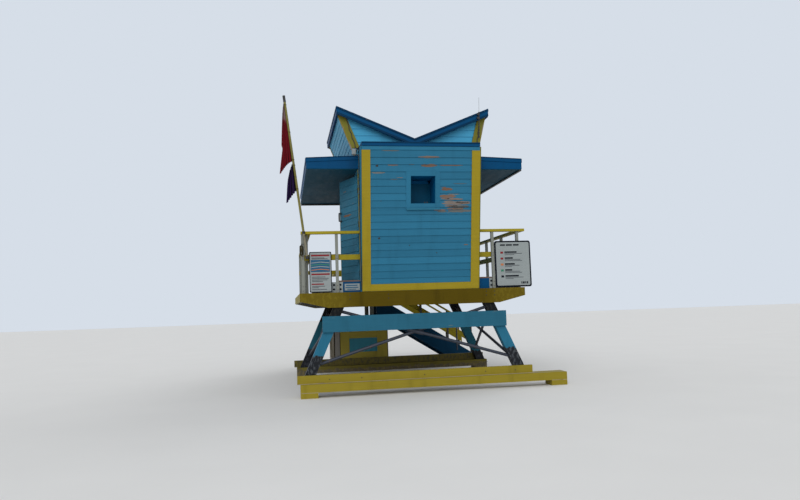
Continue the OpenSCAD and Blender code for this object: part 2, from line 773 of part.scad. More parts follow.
// A canopy's roofing sheet on its boards and rafters
module canopy(s, root) {
  outer = root + s * canopy_reach;
  bays = 5;
  pitch = (cab_front - cab_back - canopy_board_t) / bays;
  difference() {
    slab_xz(canopy_outline(s, root, 0), cab_back, cab_front);
    for (i = [0 : bays - 1])
      slab_xz([
        [root + s * canopy_board_t, canopy_z - 1],
        [root + s * canopy_board_t, wall_top - canopy_sheet_t],
        [s < 0 ? base_l : base_r, wall_top - canopy_sheet_t],
        [outer - s * canopy_board_t, canopy_z + canopy_edge_h - canopy_sheet_t],
        [outer - s * canopy_board_t, canopy_z - 1]
      ], cab_back + canopy_board_t + i * pitch, cab_back + (i + 1) * pitch);
  }
}

module left_canopy() color("#14549a") canopy(-1, cab_l);
module right_canopy() color("#14549a") canopy(1, cab_r);

// The sheets under the canopies
module canopy_soffits() color("#2c4a52")
  for (x = [canopy_l + 4, cab_r])
    block(x, x + canopy_reach - 4, cab_back + 4, cab_front - 4, canopy_z - canopy_sheet_t / 2, canopy_z);

// The flat roof over the seaward part of the cabin, open below between its rafters
module front_roof() color("#14549a") {
  y0 = gable_front_y - wall_t;
  x0 = cab_l + wall_t;
  bays = 4;
  pitch = (cabin_w - 2 * wall_t - canopy_board_t) / bays;
  difference() {
    block(x0, cab_r - wall_t, y0, cab_front, canopy_z, wall_top);
    for (i = [0 : bays - 1])
      block(x0 + canopy_board_t + i * pitch, x0 + (i + 1) * pitch, y0 + wall_t, cab_front - wall_t,
        canopy_z - 1, wall_top - canopy_sheet_t);
  }
}

// How much further a top rail runs into a corner than a middle rail
rail_join = post_w + rail_t + rail_over - top_rail_w;

// A railing along X whose posts' outer faces stand at y; s is the way inwards
module rails_x(x0, x1, y, s, posts) {
  block(x0, x1, y - s * rail_over, y + s * (top_rail_w - rail_over), rail_top - top_rail_t, rail_top);
  block(x0, x1, y + s * post_w, y + s * (post_w + rail_t), mid_top - rail_board_h, mid_top);
  for (x = posts)
    block(x - post_w / 2, x + post_w / 2, y, y + s * post_w, deck_top, rail_top - top_rail_t);
}

// A railing along Y whose posts' outer faces stand at x; s is the way inwards
module rails_y(y0, y1, x, s, over, posts) {
  block(x - s * over, x + s * (top_rail_w - over), y0 - rail_join, y1 + rail_join, rail_top - top_rail_t, rail_top);
  block(x + s * post_w, x + s * (post_w + rail_t), y0, y1, mid_top - rail_board_h, mid_top);
  for (y = posts)
    block(x, x + s * post_w, y - post_w / 2, y + post_w / 2, deck_top, rail_top - top_rail_t);
}

// The back railings, with a short post behind the left sign board
module back_railings() color("#c9ab2b") {
  rails_x(-half_w + 33, cab_l, rail_out, 1, [-half_w + corner_in, -half_w + 594]);
  rails_x(cab_r, half_w + 50, rail_out, 1, [half_w - 500, half_w - corner_in - 13]);
  x = -half_w + left_sign_in + left_sign_w / 2;
  block(x - post_w / 2, x + post_w / 2, rail_out, rail_out + post_w, deck_top, mid_top);
}

module side_railings() color("#b9a02b") {
  y1 = front_out - post_w - rail_t;
  pitch = (y1 - rail_in) / 5;
  posts = [for (i = [1 : 4]) rail_in + i * pitch];
  rails_y(rail_in, y1, -half_w + left_rail_in, 1, 0, concat([rail_in + post_w], posts));
  rails_y(rail_in, y1, half_w, -1, right_rail_over, posts);
}

// The front railing leaves the landing's head open
module front_railing() color("#b9a02b") {
  left = -half_w + left_rail_in;
  rails_x(left, -720, front_out, -1, [left + post_w / 2, -1215, -745]);
  rails_x(0, half_w + right_rail_over, front_out, -1, [post_w / 2, half_w / 2, half_w - post_w / 2]);
}

// Boards that stand on the deck behind the back railings' posts
module kick_boards() color("#2b72b5") {
  y = rail_out + post_w;
  for (e = [[-half_w + 190, cab_l - 5], [cab_r + 5, half_w - 90]]) {
    block(e[0], e[1], y, y + board_t, deck_top, deck_top + kick_h - kick_cap_t);
    block(e[0], e[1], y, y + board_t + 12, deck_top + kick_h - kick_cap_t, deck_top + kick_h);
  }
}

// Two bare sign boards on the outer faces of the back railings' posts
module sign_boards() color("#d5dbe0") {
  z = deck_top + sign_gap;
  left = -half_w + left_sign_in;
  right = half_w - right_sign_in;
  block(left, left + left_sign_w, rail_out - board_t, rail_out, z, z + left_sign_h);
  block(right, right + right_sign_w, rail_out - board_t, rail_out, z, z + right_sign_h);
}

// Middle of the flagpole at height z
function pole_x(z) = -half_w + pole_in - pole_lean * (z - rail_top) / 1000;
pole_y = rail_out - rail_over - pole_d / 2 - 0.3;

// The flagpole, with brackets to the top rail and the middle rail
module flagpole() color("#a79a55") {
  bar([pole_x(pole_foot_z), pole_y, pole_foot_z], [pole_x(pole_top_z), pole_y, pole_top_z], pole_d);
  for (b = [[rail_top - top_rail_t / 2, rail_out - rail_over], [mid_top - rail_board_h / 2, rail_out + post_w]])
    block(pole_x(b[0]) - 25, pole_x(b[0]) + 25, pole_y, b[1], b[0] - 17, b[0] + 17);
}

// A flag hanging limp beside the pole, from height z1 down to its tip
module flag(z1, z0, w, drop)
  slab_xz([
    [pole_x(z1) - pole_d / 2 - 0.6, z1], [pole_x(z0) - pole_d / 2 - 0.6, z0],
    [pole_x(z0) - pole_d / 2 - w, z0 - drop], [pole_x(z0) - pole_d / 2 - w, z0 + 250],
    [pole_x(z1) - pole_d / 2 - 20, z1]
  ], pole_y - flag_t / 2, pole_y + flag_t / 2);

module red_flag() color("#a3202c")
  flag(red_flag_high, red_flag_low, red_flag_w, red_flag_drop);
module purple_flag() color("#3d2463")
  flag(purple_flag_high, purple_flag_low, purple_flag_w, purple_flag_drop);

// A whip in a clamp at the right end of the back rake board
module antenna() color("#4b4a46") {
  y = roof_back - 30;
  top = over_roof(antenna_x) - 20;
  block(antenna_x - 25, antenna_x + 25, roof_back - 42, roof_back, top - 85, top);
  bar([antenna_x, y, antenna_foot_z], [antenna_x + 26, y, antenna_top_z], whip_d);
}

// Height of the ramp's surface at x
function ramp_z(x) = deck_top - ramp_slope * x;
locker_right = locker_l - locker_left;
locker_top = ramp_z(locker_right) - ramp_side_h - locker_gap;

// The landing at the head of the ramp, on short posts that stand on the locker
module landing() color("#8a8468") {
  x0 = -landing_l;
  y1 = ramp_y + ramp_w;
  block(x0, 0, ramp_y, y1, board_z, deck_top);
  for (y = [ramp_y, y1 - plank_t])
    block(x0, 0, y, y + plank_t, bearer_z + joist_rise, board_z);
  for (x = [x0, -plank_t])
    block(x, x + plank_t, ramp_y + plank_t, y1 - plank_t, bearer_z + joist_rise, board_z);
  p = landing_post_w;
  for (x = [x0 + plank_t, -plank_t - p], y = [ramp_y + plank_t, y1 - plank_t - p])
    block(x, x + p, y, y + p, locker_top, board_z);
}

// Railings on the landing's outer sides
module landing_railings() color("#b9a02b") {
  left = -landing_l + 4;
  y0 = ramp_y + 4 + rail_join;
  y1 = landing_out - post_w - rail_t;
  rails_x(left, -4, landing_out, -1, [left + rail_over + post_w / 2, -30]);
  rails_y(y0, y1, left + rail_over, 1, rail_over, [y0 + post_w / 2, (y0 + y1) / 2]);
}

// The sloping boards of the ramp, cut level where they meet the ground
module ramp() color("#8a8468") {
  t = ramp_board_t;
  slab_xz([
    [0, deck_top], [ramp_foot, 0], [ramp_foot - t / ramp_slope, 0], [0, deck_top - t]
  ], ramp_y + ramp_side_t, ramp_y + ramp_w - ramp_side_t);
}

// The deep boards along both sides of the ramp
module ramp_side_boards() color("#15355f")
  for (y = [ramp_y, ramp_y + ramp_w - ramp_side_t])
    slab_xz([
      [0.3, deck_top], [ramp_foot, 0], [ramp_foot - ramp_side_h / ramp_slope, 0], [0.3, deck_top - ramp_side_h]
    ], y, y + ramp_side_t);

// A sloping board along the ramp, between two heights above its surface
module ramp_rail(lo, hi, y, x0, x1)
  slab_xz([
    [x0, ramp_z(x0) + lo], [x1, ramp_z(x1) + lo], [x1, ramp_z(x1) + hi], [x0, ramp_z(x0) + hi]
  ], y, y + ramp_rail_t);

module ramp_railings() color("#b9a02b")
  for (y = [ramp_y + ramp_side_t, ramp_y + ramp_w - ramp_side_t - ramp_rail_t]) {
    ramp_rail(ramp_kick_z, ramp_kick_z + ramp_kick_h, y, ramp_rail_from, ramp_rail_to);
    ramp_rail(ramp_rail_z, ramp_rail_z + ramp_rail_h, y, ramp_rail_from, ramp_rail_to);
    for (x = ramp_posts)
      ramp_rail(0, ramp_rail_z + 10, y, x, x + ramp_post_w);
  }

// A closed storage locker with a sunk panel in each side
module locker() color("#c9ab2b") {
  x0 = -locker_left;
  x1 = locker_right;
  y0 = front_y - locker_in;
  y1 = y0 + locker_d;
  d = locker_panel_d;
  p = x0 + locker_panel_in;
  z = locker_panel_z;
  top = z + locker_panel_h;
  difference() {
    block(x0, x1, y0, y1, 0, locker_top);
    for (y = [y0, y1])
      block(p, p + locker_panel_l, y - d, y + d, z, top);
    for (x = [x0, x1])
      block(x - d, x + d, y0 + locker_panel_in, y1 - locker_panel_in, z, top);
  }
}

plan_left = pole_x(red_flag_low) - pole_d / 2 - red_flag_w;
plan_right = ramp_foot;
plan_back = cab_back - lean - cap_overhang;
plan_front = ramp_y + ramp_w;

// Move from the middle of the deck to the middle of the plan
module place() translate([-(plan_left + plan_right) / 2, -(plan_back + plan_front) / 2, 0]) children();

place() back_skid();
place() front_skid();
place() sill_planks();
place() back_left_leg();
place() back_right_leg();
place() front_left_leg();
place() front_right_leg();
place() crossbeam();
place() back_brace();
place() left_brace();
place() right_brace();
place() deck_bearers();
place() back_edge_beam();
place() side_edge_beams();
place() front_edge_beam();
place() deck_joists();
place() deck_boards();
place() back_wall();
place() back_wall_cheeks();
place() back_wall_cap();
place() back_wall_trim();
place() window_frame();
place() window_hatch();
place() left_wall();
place() left_wall_pier();
place() left_wall_header();
place() right_wall();
place() front_wall();
place() side_door();
place() door_hardware();
place() door_hinges();
place() left_flare_wall();
place() right_flare_wall();
place() back_gable();
place() front_gable();
place() gable_trim();
place() left_roof_panel();
place() right_roof_panel();
place() rake_boards();
place() eave_boards();
place() left_canopy();
place() right_canopy();
place() canopy_soffits();
place() front_roof();
place() back_railings();
place() side_railings();
place() front_railing();
place() kick_boards();
place() sign_boards();
place() flagpole();
place() red_flag();
place() purple_flag();
place() antenna();
place() landing();
place() landing_railings();
place() ramp();
place() ramp_side_boards();
place() ramp_railings();
place() locker();
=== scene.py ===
import json
import math
import random

import bmesh
import bpy
from mathutils import Matrix, Vector


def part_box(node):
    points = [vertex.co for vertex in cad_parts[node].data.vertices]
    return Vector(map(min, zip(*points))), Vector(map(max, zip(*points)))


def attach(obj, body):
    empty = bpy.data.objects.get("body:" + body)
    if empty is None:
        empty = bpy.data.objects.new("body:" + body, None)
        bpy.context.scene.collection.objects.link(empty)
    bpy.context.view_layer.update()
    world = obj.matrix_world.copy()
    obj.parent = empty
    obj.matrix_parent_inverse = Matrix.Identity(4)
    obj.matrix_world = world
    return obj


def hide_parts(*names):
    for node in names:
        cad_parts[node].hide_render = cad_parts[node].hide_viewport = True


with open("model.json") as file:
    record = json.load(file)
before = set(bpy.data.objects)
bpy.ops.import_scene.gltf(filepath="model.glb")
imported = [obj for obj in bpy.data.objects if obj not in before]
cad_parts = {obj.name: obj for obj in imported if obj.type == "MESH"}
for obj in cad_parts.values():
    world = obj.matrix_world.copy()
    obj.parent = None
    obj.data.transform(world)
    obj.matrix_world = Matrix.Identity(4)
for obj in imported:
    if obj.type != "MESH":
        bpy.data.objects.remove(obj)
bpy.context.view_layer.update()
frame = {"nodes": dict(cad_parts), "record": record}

# Places, in metres. at() counts from the middle of the deck's back edge and from the ground.
X, Y, Z = Vector((1, 0, 0)), Vector((0, 1, 0)), Vector((0, 0, 1))
edge_lo, edge_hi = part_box("back_edge_beam")
MIDDLE = (edge_lo[0] + edge_hi[0]) / 2
BACK = edge_lo[1]
TOP = edge_hi[2]


def at(x, y, z):
    return Vector((MIDDLE + x, BACK + y, z))


def span(node):
    """A node's box, counted as at() counts: x0, x1, y0, y1, z0, z1."""
    lo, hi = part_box(node)
    return lo[0] - MIDDLE, hi[0] - MIDDLE, lo[1] - BACK, hi[1] - BACK, lo[2], hi[2]


HALF_W = span("back_edge_beam")[1]
DECK_D = span("front_edge_beam")[3]
CAB_L, _, CAB_Y, DOOR_Y0 = span("left_wall_pier")[:4]
DOOR_Y1, CAB_FRONT, _, WALL_TOP = span("left_wall")[2:]
DOOR_TOP = span("left_wall_header")[4]
CAB_R = span("right_wall")[1]
CAB_MID = (CAB_L + CAB_R) / 2
WALL_BACK = span("back_wall")[2]
CAP_Z0, CAP_Z1 = span("back_wall_cap")[4:6]
LEAN = math.atan((CAB_Y - WALL_BACK) / (CAP_Z0 - TOP))
SLANT = (CAP_Z0 - TOP) / math.cos(LEAN)
EAVE_L, EAVE_R = span("left_flare_wall")[0], span("right_flare_wall")[1]
GABLE_Y, _, EAVE_Z = span("left_flare_wall")[3:]
VALLEY_X = (EAVE_L + EAVE_R) / 2
FLARE_STEP = 0.06
FOOT_L, FOOT_R = CAB_L - FLARE_STEP, CAB_R + FLARE_STEP
RAKE_X0, RAKE_X1, RAKE_Y0, RAKE_Y1, RAKE_Z0, RAKE_Z1 = span("rake_boards")
RAKE_H, ROOF_T = 0.125, 0.06
RATE = (RAKE_Z1 - RAKE_Z0 - RAKE_H) / ((RAKE_X1 - RAKE_X0) / 2)
CANOPY_L, CANOPY_R = span("left_canopy")[0], span("right_canopy")[1]
CANOPY_Z = span("left_canopy")[4]
CANOPY_EDGE_Z = CANOPY_Z + 0.176
RAIL_TOP = span("back_railings")[5]
MID_TOP = TOP + 0.602
RAMP_W = span("ramp_side_boards")[3] - DECK_D
RAMP_RUN = span("ramp")[1]
FALL = TOP / RAMP_RUN

# The cabin's sides: sign, name, and x at the wall, the flared wall's foot, the eave and the canopy's edge
SIDES = (
    (-1, "left", CAB_L, FOOT_L, EAVE_L, CANOPY_L),
    (1, "right", CAB_R, FOOT_R, EAVE_R, CANOPY_R),
)


def over_roof(x):
    """The top of the roof's edge at x."""
    return RAKE_Z0 + RAKE_H + RATE * abs(x - VALLEY_X)


def under_roof(x):
    return over_roof(x) - ROOF_T


def over_ramp(x):
    return TOP - FALL * x


def lean_y(z):
    """The leaning wall's outer face at height z."""
    return CAB_Y - (z - TOP) * math.tan(LEAN)


# Materials


def linear(seen):
    """A colour given as it is seen, 0 to 255, in linear light."""
    return tuple(c / 3294.6 if c <= 10.3 else ((c / 255 + 0.055) / 1.055) ** 2.4 for c in seen)

class Tree:
    """The nodes of a material or of the world."""

    def __init__(self, owner):
        owner.use_nodes = True
        self.owner, self.t = owner, owner.node_tree
        self.t.nodes.clear()

    def add(self, kind, inputs=(), **props):
        """A new node with these inputs."""
        node = self.t.nodes.new(kind)
        for k, v in props.items():
            setattr(node, k, v)
        self.put(node, inputs)
        return node

    def put(self, node, inputs):
        """Sets or links a node's inputs, given as pairs of a name or number and a value or output."""
        for key, value in inputs:
            if isinstance(value, bpy.types.NodeSocket):
                self.t.links.new(value, node.inputs[key])
            else:
                node.inputs[key].default_value = value


class Nodes(Tree):
    """A material's nodes, with the place and the tone of what is painted."""

    def __init__(self, name):
        super().__init__(bpy.data.materials.new(name))
        self.bsdf = self.add("ShaderNodeBsdfPrincipled")
        self.add("ShaderNodeOutputMaterial", [(0, self.bsdf.outputs[0])])
        self.pos = self.add("ShaderNodeTexCoord").outputs["Object"]
        self.x, self.y, self.z = self.add("ShaderNodeSeparateXYZ", [(0, self.pos)]).outputs
        self.tone = self.add("ShaderNodeAttribute", attribute_name="tone").outputs["Fac"]

    def noise(self, scale, stretch=(1, 1, 1), detail=3.0, shift=(0, 0, 0)):
        scales = [scale * s for s in stretch]
        place = self.add("ShaderNodeMapping", (("Vector", self.pos), ("Scale", scales), ("Location", shift)))
        inputs = ("Vector", place.outputs[0]), ("Scale", 1.0), ("Detail", detail), ("Roughness", 0.6)
        return self.add("ShaderNodeTexNoise", inputs).outputs["Fac"]

    def math(self, op, a, b=0.0, c=0.0):
        return self.add("ShaderNodeMath", enumerate((a, b, c)), operation=op).outputs[0]

    def ramp(self, value, lo, hi, out=(0.0, 1.0)):
        inputs = enumerate((value, lo, hi, *out))
        return self.add("ShaderNodeMapRange", inputs, interpolation_type="SMOOTHSTEP").outputs[0]

    def scaled(self, colour, factor):
        inputs = (0, colour), ("Scale", factor)
        return self.add("ShaderNodeVectorMath", inputs, operation="SCALE").outputs[0]

    def mix(self, factor, a, b):
        a, b = (value + (1.0,) if isinstance(value, tuple) else value for value in (a, b))
        return self.add("ShaderNodeMix", ((0, factor), (6, a), (7, b)), data_type="RGBA").outputs[2]

    def done(self, colour, rough, height, strength=0.35, distance=0.004, metal=0.0):
        inputs = ("Strength", strength), ("Distance", distance), ("Height", height)
        bump = self.add("ShaderNodeBump", inputs)
        self.put(self.bsdf, (
            ("Base Color", colour), ("Roughness", rough), ("Metallic", metal),
            ("Specular IOR Level", 0.5 if metal else 0.06), ("Normal", bump.outputs[0]),
        ))
        return self.owner


ALONG = {"x": (0.05, 1, 1), "y": (1, 0.05, 1), "z": (1, 1, 0.05)}
STREAK = {"x": (0.22, 1, 1), "y": (1, 0.22, 1), "z": (1, 1, 0.22)}
EVEN = (1, 1, 1)
WEATHERED = (0.2, 0.2, 0.19)


def paint(name, coat, bare, wear, along, fade, rough, seed, grime, zones=()):
    """Old paint on timber: faded in clouds, grained, chipped to the bare colour, and grimy in streaks.
    zones are (axis, place, below, softness, two colours): a mottled part on one side of a ragged line."""
    n = Nodes(name)
    grain = n.noise(55, ALONG[along], 3, (seed, 1, 2))
    cloud = n.noise(1.4, EVEN, 4, (2, seed, 1))
    mottle = n.noise(10, STREAK[along], 5, (1, 2, seed))
    drip = n.noise(5, (1, 1, 0.13), 3, (seed, seed, 0))
    light = n.math("MULTIPLY_ADD", cloud, 2 * fade, 1 - fade)
    light = n.math("ADD", light, n.math("MULTIPLY_ADD", grain, 0.22, -0.11))
    light = n.math("MULTIPLY_ADD", n.tone, 0.1, light)
    light = n.math("MULTIPLY", light, n.ramp(drip, 0.5, 0.75, (1.0, 1.0 - grime)))
    colour = n.scaled(linear(coat), light)
    chips = n.math("ADD", mottle, n.math("MULTIPLY_ADD", grain, 0.3, -0.15))
    peel = n.ramp(chips, 0.745 - 0.3 * wear, 0.785 - 0.3 * wear)
    colour = n.mix(peel, colour, n.scaled(linear(bare), n.math("MULTIPLY_ADD", grain, 0.9, 0.55)))
    for axis, place, below, soft, first, second in zones:
        line = n.math("SUBTRACT", getattr(n, axis), 0.08)
        ragged_line = n.math("MULTIPLY_ADD", n.noise(16, (1, 1, 0.6), 4, (seed, 3, 3)), 0.16, line)
        inside = n.ramp(ragged_line, place - soft, place + soft, (1.0, 0.0) if below else (0.0, 1.0))
        blots = n.ramp(n.noise(26, (1, 1, 0.5), 5, (4, seed, 4)), 0.5, 0.58)
        colour = n.mix(inside, colour, n.mix(blots, linear(first), linear(second)))
    height = n.math("MULTIPLY_ADD", peel, -0.6, grain)
    return n.done(colour, n.math("MULTIPLY_ADD", mottle, 0.35, rough - 0.17), height)


def timber(name, coat, along, seed):
    """Bare weathered timber: long grain, checks and grey clouds."""
    n = Nodes(name)
    coat = linear(coat)
    grain = n.noise(42, ALONG[along], 5, (seed, 0, 0))
    cloud = n.noise(3.0, STREAK[along], 4, (0, seed, 0))
    checks = n.ramp(n.noise(30, tuple(0.4 * s for s in ALONG[along]), 2, (0, 0, seed)), 0.6, 0.7)
    light = n.math("ADD", n.math("MULTIPLY_ADD", grain, 0.7, 0.62), n.math("MULTIPLY", n.tone, 0.14))
    colour = n.mix(n.ramp(cloud, 0.35, 0.7), n.scaled(coat, light), n.scaled(WEATHERED, light))
    colour = n.mix(n.math("MULTIPLY", checks, 0.6), colour, n.scaled(coat, 0.3))
    rough = n.math("MULTIPLY_ADD", grain, 0.2, 0.7)
    return n.done(colour, rough, n.math("SUBTRACT", grain, checks), 0.5)


def metal(name, coat, rust, rough, amount, shine, seed):
    """Old galvanised or painted metal with specks and spots of rust."""
    n = Nodes(name)
    speck = n.noise(70, EVEN, 4, (seed, 0, 0))
    cloud = n.noise(8, EVEN, 4, (0, seed, 0))
    spots = n.ramp(n.noise(14, EVEN, 5, (0, 0, seed)), 0.68 - amount, 0.76 - amount)
    light = n.math("ADD", n.math("MULTIPLY_ADD", cloud, 0.5, 0.7), n.math("MULTIPLY", speck, 0.15))
    colour = n.mix(spots, n.scaled(linear(coat), light), n.scaled(linear(rust), n.math("ADD", speck, 0.5)))
    height = n.math("ADD", speck, spots)
    return n.done(colour, n.math("MULTIPLY_ADD", cloud, 0.3, rough - 0.1), height, 0.25, 0.002, shine)


def cloth(name, coat, seed, streaks=0.0, pale=None):
    """Thin woven cloth; streaks is how far the sun has bleached its top to the pale colour."""
    n = Nodes(name)
    weave = n.math(
        "MULTIPLY",
        n.math("SINE", n.math("MULTIPLY", n.z, 1600.0)),
        n.math("SINE", n.math("MULTIPLY", n.math("ADD", n.x, n.y), 1600.0)),
    )
    cloud = n.noise(6, (1, 1, 0.4), 4, (seed, 0, 0))
    light = n.math("ADD", n.math("MULTIPLY_ADD", cloud, 0.6, 0.7), n.math("MULTIPLY", weave, 0.05))
    colour = n.scaled(linear(coat), light)
    if streaks:
        bleach = n.math("MULTIPLY", n.ramp(cloud, 0.46, 0.6), n.ramp(n.z, 4.25, 4.42))
        colour = n.mix(n.math("MULTIPLY", bleach, streaks), colour, linear(pale))
    m = n.done(colour, n.math("MULTIPLY_ADD", cloud, 0.2, 0.75), weave, 0.2, 0.001)
    n.bsdf.inputs["Sheen Weight"].default_value = 0.05
    return m


# Paints: name, colour, bare colour, wear, grain, fading, roughness, seed, grime and zones
BARE = (112, 92, 78)
WALL_BARE, DEEP_BARE, SIGN_BARE, SKID_BARE = (104, 100, 98), (92, 86, 92), (150, 150, 150), (120, 104, 80)
WALL = paint("wall_blue", (43, 106, 135), WALL_BARE, 0.04, "x", 0.06, 0.5, 1.0, 0.1)
WALL_Y = paint("wall_blue_side", (43, 102, 126), WALL_BARE, 0.1, "y", 0.09, 0.5, 2.0, 0.12)
FLARE = paint("flare_blue", (92, 163, 193), (120, 122, 120), 0.1, "y", 0.08, 0.5, 3.0, 0.12)
GABLE = paint("gable_blue", (70, 152, 189), WALL_BARE, 0.05, "x", 0.07, 0.5, 4.0, 0.1)
DEEP = paint("deep_blue", (0, 65, 106), DEEP_BARE, 0.1, "x", 0.12, 0.45, 5.0, 0.15)
DEEP_Y = paint("deep_blue_side", (0, 58, 100), DEEP_BARE, 0.12, "y", 0.12, 0.45, 5.5, 0.15)
DARK = paint("dark_blue", (0, 46, 76), (60, 60, 64), 0.12, "x", 0.12, 0.45, 6.0, 0.15)
ROOF = paint("roof_blue", (14, 70, 116), (100, 104, 104), 0.22, "y", 0.18, 0.7, 6.5, 0.2)
SOFFIT = paint("soffit_dark", (12, 66, 86), (58, 60, 58), 0.15, "y", 0.18, 0.6, 7.0, 0.15)
YELLOW = paint("yellow_x", (146, 132, 34), BARE, 0.16, "x", 0.14, 0.5, 8.0, 0.15)
YELLOW_Y = paint("yellow_y", (138, 124, 32), BARE, 0.2, "y", 0.14, 0.5, 8.5, 0.18)
YELLOW_Z = paint("yellow_z", (113, 110, 44), BARE, 0.14, "z", 0.12, 0.5, 9.0, 0.14)
SILL = paint("yellow_sill", (149, 131, 36), BARE, 0.12, "x", 0.1, 0.5, 9.5, 0.12)
# The deck's edge beams carry painted shade: a dark coat along the middle, lightening towards both ends
EDGE_SHADE_ENDS = [
    ("x", MIDDLE - 1.12, True, 0.2, (98, 84, 18), (108, 94, 24)),
    ("x", MIDDLE + 1.3, False, 0.2, (94, 80, 16), (104, 90, 22)),
]
EDGE = paint("yellow_edge_shaded_middle", (80, 66, 5), (66, 52, 32), 0.22, "x", 0.16, 0.55, 10.0, 0.25, EDGE_SHADE_ENDS)
SKID = paint("yellow_skid", (141, 126, 41), SKID_BARE, 0.18, "x", 0.12, 0.5, 10.5, 0.16)
# The seaward sill plank is darker: painted shade under the deck
FAR_PLANK_SHADE = [("y", BACK + DECK_D / 2, False, 0.01, (94, 86, 42), (74, 70, 48))]
PLANK = paint("yellow_plank_far_shaded", (141, 126, 41), SKID_BARE, 0.18, "x", 0.12, 0.5, 10.5, 0.16, FAR_PLANK_SHADE)
# Leg zones: peeled, mottled dark paint low down, and above the crossbeam a dark band that is painted shade
# under the deck
LEG_PEEL_AND_TOP_SHADE = [
    ("z", 0.632, True, 0.006, (34, 36, 40), (70, 74, 78)),
    ("z", 1.17, False, 0.006, (22, 24, 26), (40, 40, 38)),
]
FAR_LEG_PEEL_AND_TOP_SHADE = [
    ("z", 0.575, True, 0.006, (28, 30, 34), (46, 48, 54)),
    ("z", 1.12, False, 0.006, (20, 20, 22), (34, 32, 32)),
]
FAR_RIGHT_LEG_PEEL_AND_TOP_SHADE = [("z", 0.4, *FAR_LEG_PEEL_AND_TOP_SHADE[0][2:]), FAR_LEG_PEEL_AND_TOP_SHADE[1]]
LEG = paint("leg_teal", (40, 102, 128), (96, 104, 110), 0.22, "z", 0.16, 0.5, 11.0, 0.15, LEG_PEEL_AND_TOP_SHADE)
# The two seaward legs use darker copies of the teal and of their zones: painted shade
LEG_FAR_SHADED = paint("leg_teal_far_shaded", (29, 82, 98), (80, 86, 92), 0.22, "z", 0.16, 0.5, 11.5, 0.2, FAR_LEG_PEEL_AND_TOP_SHADE)
LEG_FAR_RIGHT_SHADED = paint("leg_teal_far_right_shaded", (29, 82, 98), (80, 86, 92), 0.22, "z", 0.16, 0.5, 11.5, 0.2, FAR_RIGHT_LEG_PEEL_AND_TOP_SHADE)
BEAM = paint("beam_teal", (39, 94, 116), (96, 104, 104), 0.3, "x", 0.2, 0.5, 12.0, 0.14)
NAVY = paint("ramp_navy", (6, 53, 80), (60, 62, 66), 0.18, "x", 0.18, 0.5, 13.0, 0.2)
WHITE = paint("board_white", (140, 147, 147), (128, 126, 120), 0.14, "x", 0.08, 0.5, 14.0, 0.1)
POST = paint("post_grey", (124, 127, 120), (92, 84, 74), 0.22, "z", 0.14, 0.6, 15.0, 0.18)
PANEL = paint("panel_blue", (58, 124, 142), (90, 92, 88), 0.18, "x", 0.16, 0.5, 16.0, 0.2)
GREY = paint("grey_board", (128, 124, 118), (70, 64, 58), 0.25, "z", 0.18, 0.7, 16.5, 0.2)
PALE = paint("pale_base", (160, 152, 138), (110, 98, 84), 0.3, "x", 0.2, 0.7, 17.0, 0.25)
REVEAL = paint("reveal_blue", (0, 84, 130), (60, 60, 64), -0.2, "y", 0.1, 0.5, 30.0, 0.05)
HATCH = paint("hatch_navy", (0, 66, 94), (40, 42, 50), -0.2, "z", 0.1, 0.5, 30.5, 0.05)
# The window sill: wear, and pale chips that also paint the highlight of its sky-lit edge
SILL_WEAR_AND_HIGHLIGHT = paint("sill_wear_and_highlight", (46, 108, 134), (150, 146, 132), 0.22, "x", 0.08, 0.6, 31.0, 0.05)
WORN_YELLOW = paint("worn_yellow", (132, 118, 52), (136, 122, 104), 0.62, "z", 0.14, 0.6, 33.0, 0.1)
SANDED = [("z", 0.15, True, 0.006, (84, 78, 62), (104, 94, 64))]
# The seaward skid: the skid yellow darkened by dirt and by painted shade under the tower, with sand at its
# foot
SKID_FAR_SHADE_AND_DIRT = paint("yellow_skid_far_shade_and_dirt", (98, 90, 40), (84, 76, 58), 0.35, "x", 0.16, 0.6, 33.5, 0.25, SANDED)
LOCKER = paint("locker_mustard", (154, 140, 62), BARE, 0.2, "x", 0.14, 0.55, 31.5, 0.2)
# The locker's yellow with painted shade, for its left side
LOCKER_SIDE_SHADE = paint("locker_side_painted_shade", (72, 62, 36), (52, 46, 40), 0.25, "z", 0.16, 0.6, 32.0, 0.2)
POLE_FOOT = [("z", 2.55, True, 0.02, (126, 122, 106), (104, 98, 84))]
POLE = paint("pole_tan", (118, 112, 62), (96, 84, 52), 0.3, "z", 0.2, 0.55, 24.0, 0.15, POLE_FOOT)
ROPE = paint("rope_fibre", (50, 46, 30), (92, 88, 66), 0.15, "z", 0.14, 0.55, 25.0, 0.18)
SIGN_RED = paint("sign_red", (124, 36, 40), SIGN_BARE, 0.1, "x", 0.08, 0.45, 28.0, 0.08)
SIGN_BLUE = paint("sign_blue", (40, 86, 116), SIGN_BARE, 0.1, "x", 0.1, 0.45, 28.5, 0.08)
SIGN_INK = paint("sign_ink", (12, 18, 28), (52, 54, 58), 0.05, "x", 0.08, 0.5, 28.8, 0.05)
SIGN_GREY = paint("sign_grey", (84, 88, 92), SIGN_BARE, 0.1, "x", 0.08, 0.45, 29.0, 0.08)
SIGN_ORANGE = paint("sign_orange", (178, 112, 74), SIGN_BARE, 0.1, "x", 0.08, 0.45, 29.3, 0.08)
SIGN_GREEN = paint("sign_green", (60, 120, 96), SIGN_BARE, 0.1, "x", 0.08, 0.45, 29.6, 0.08)

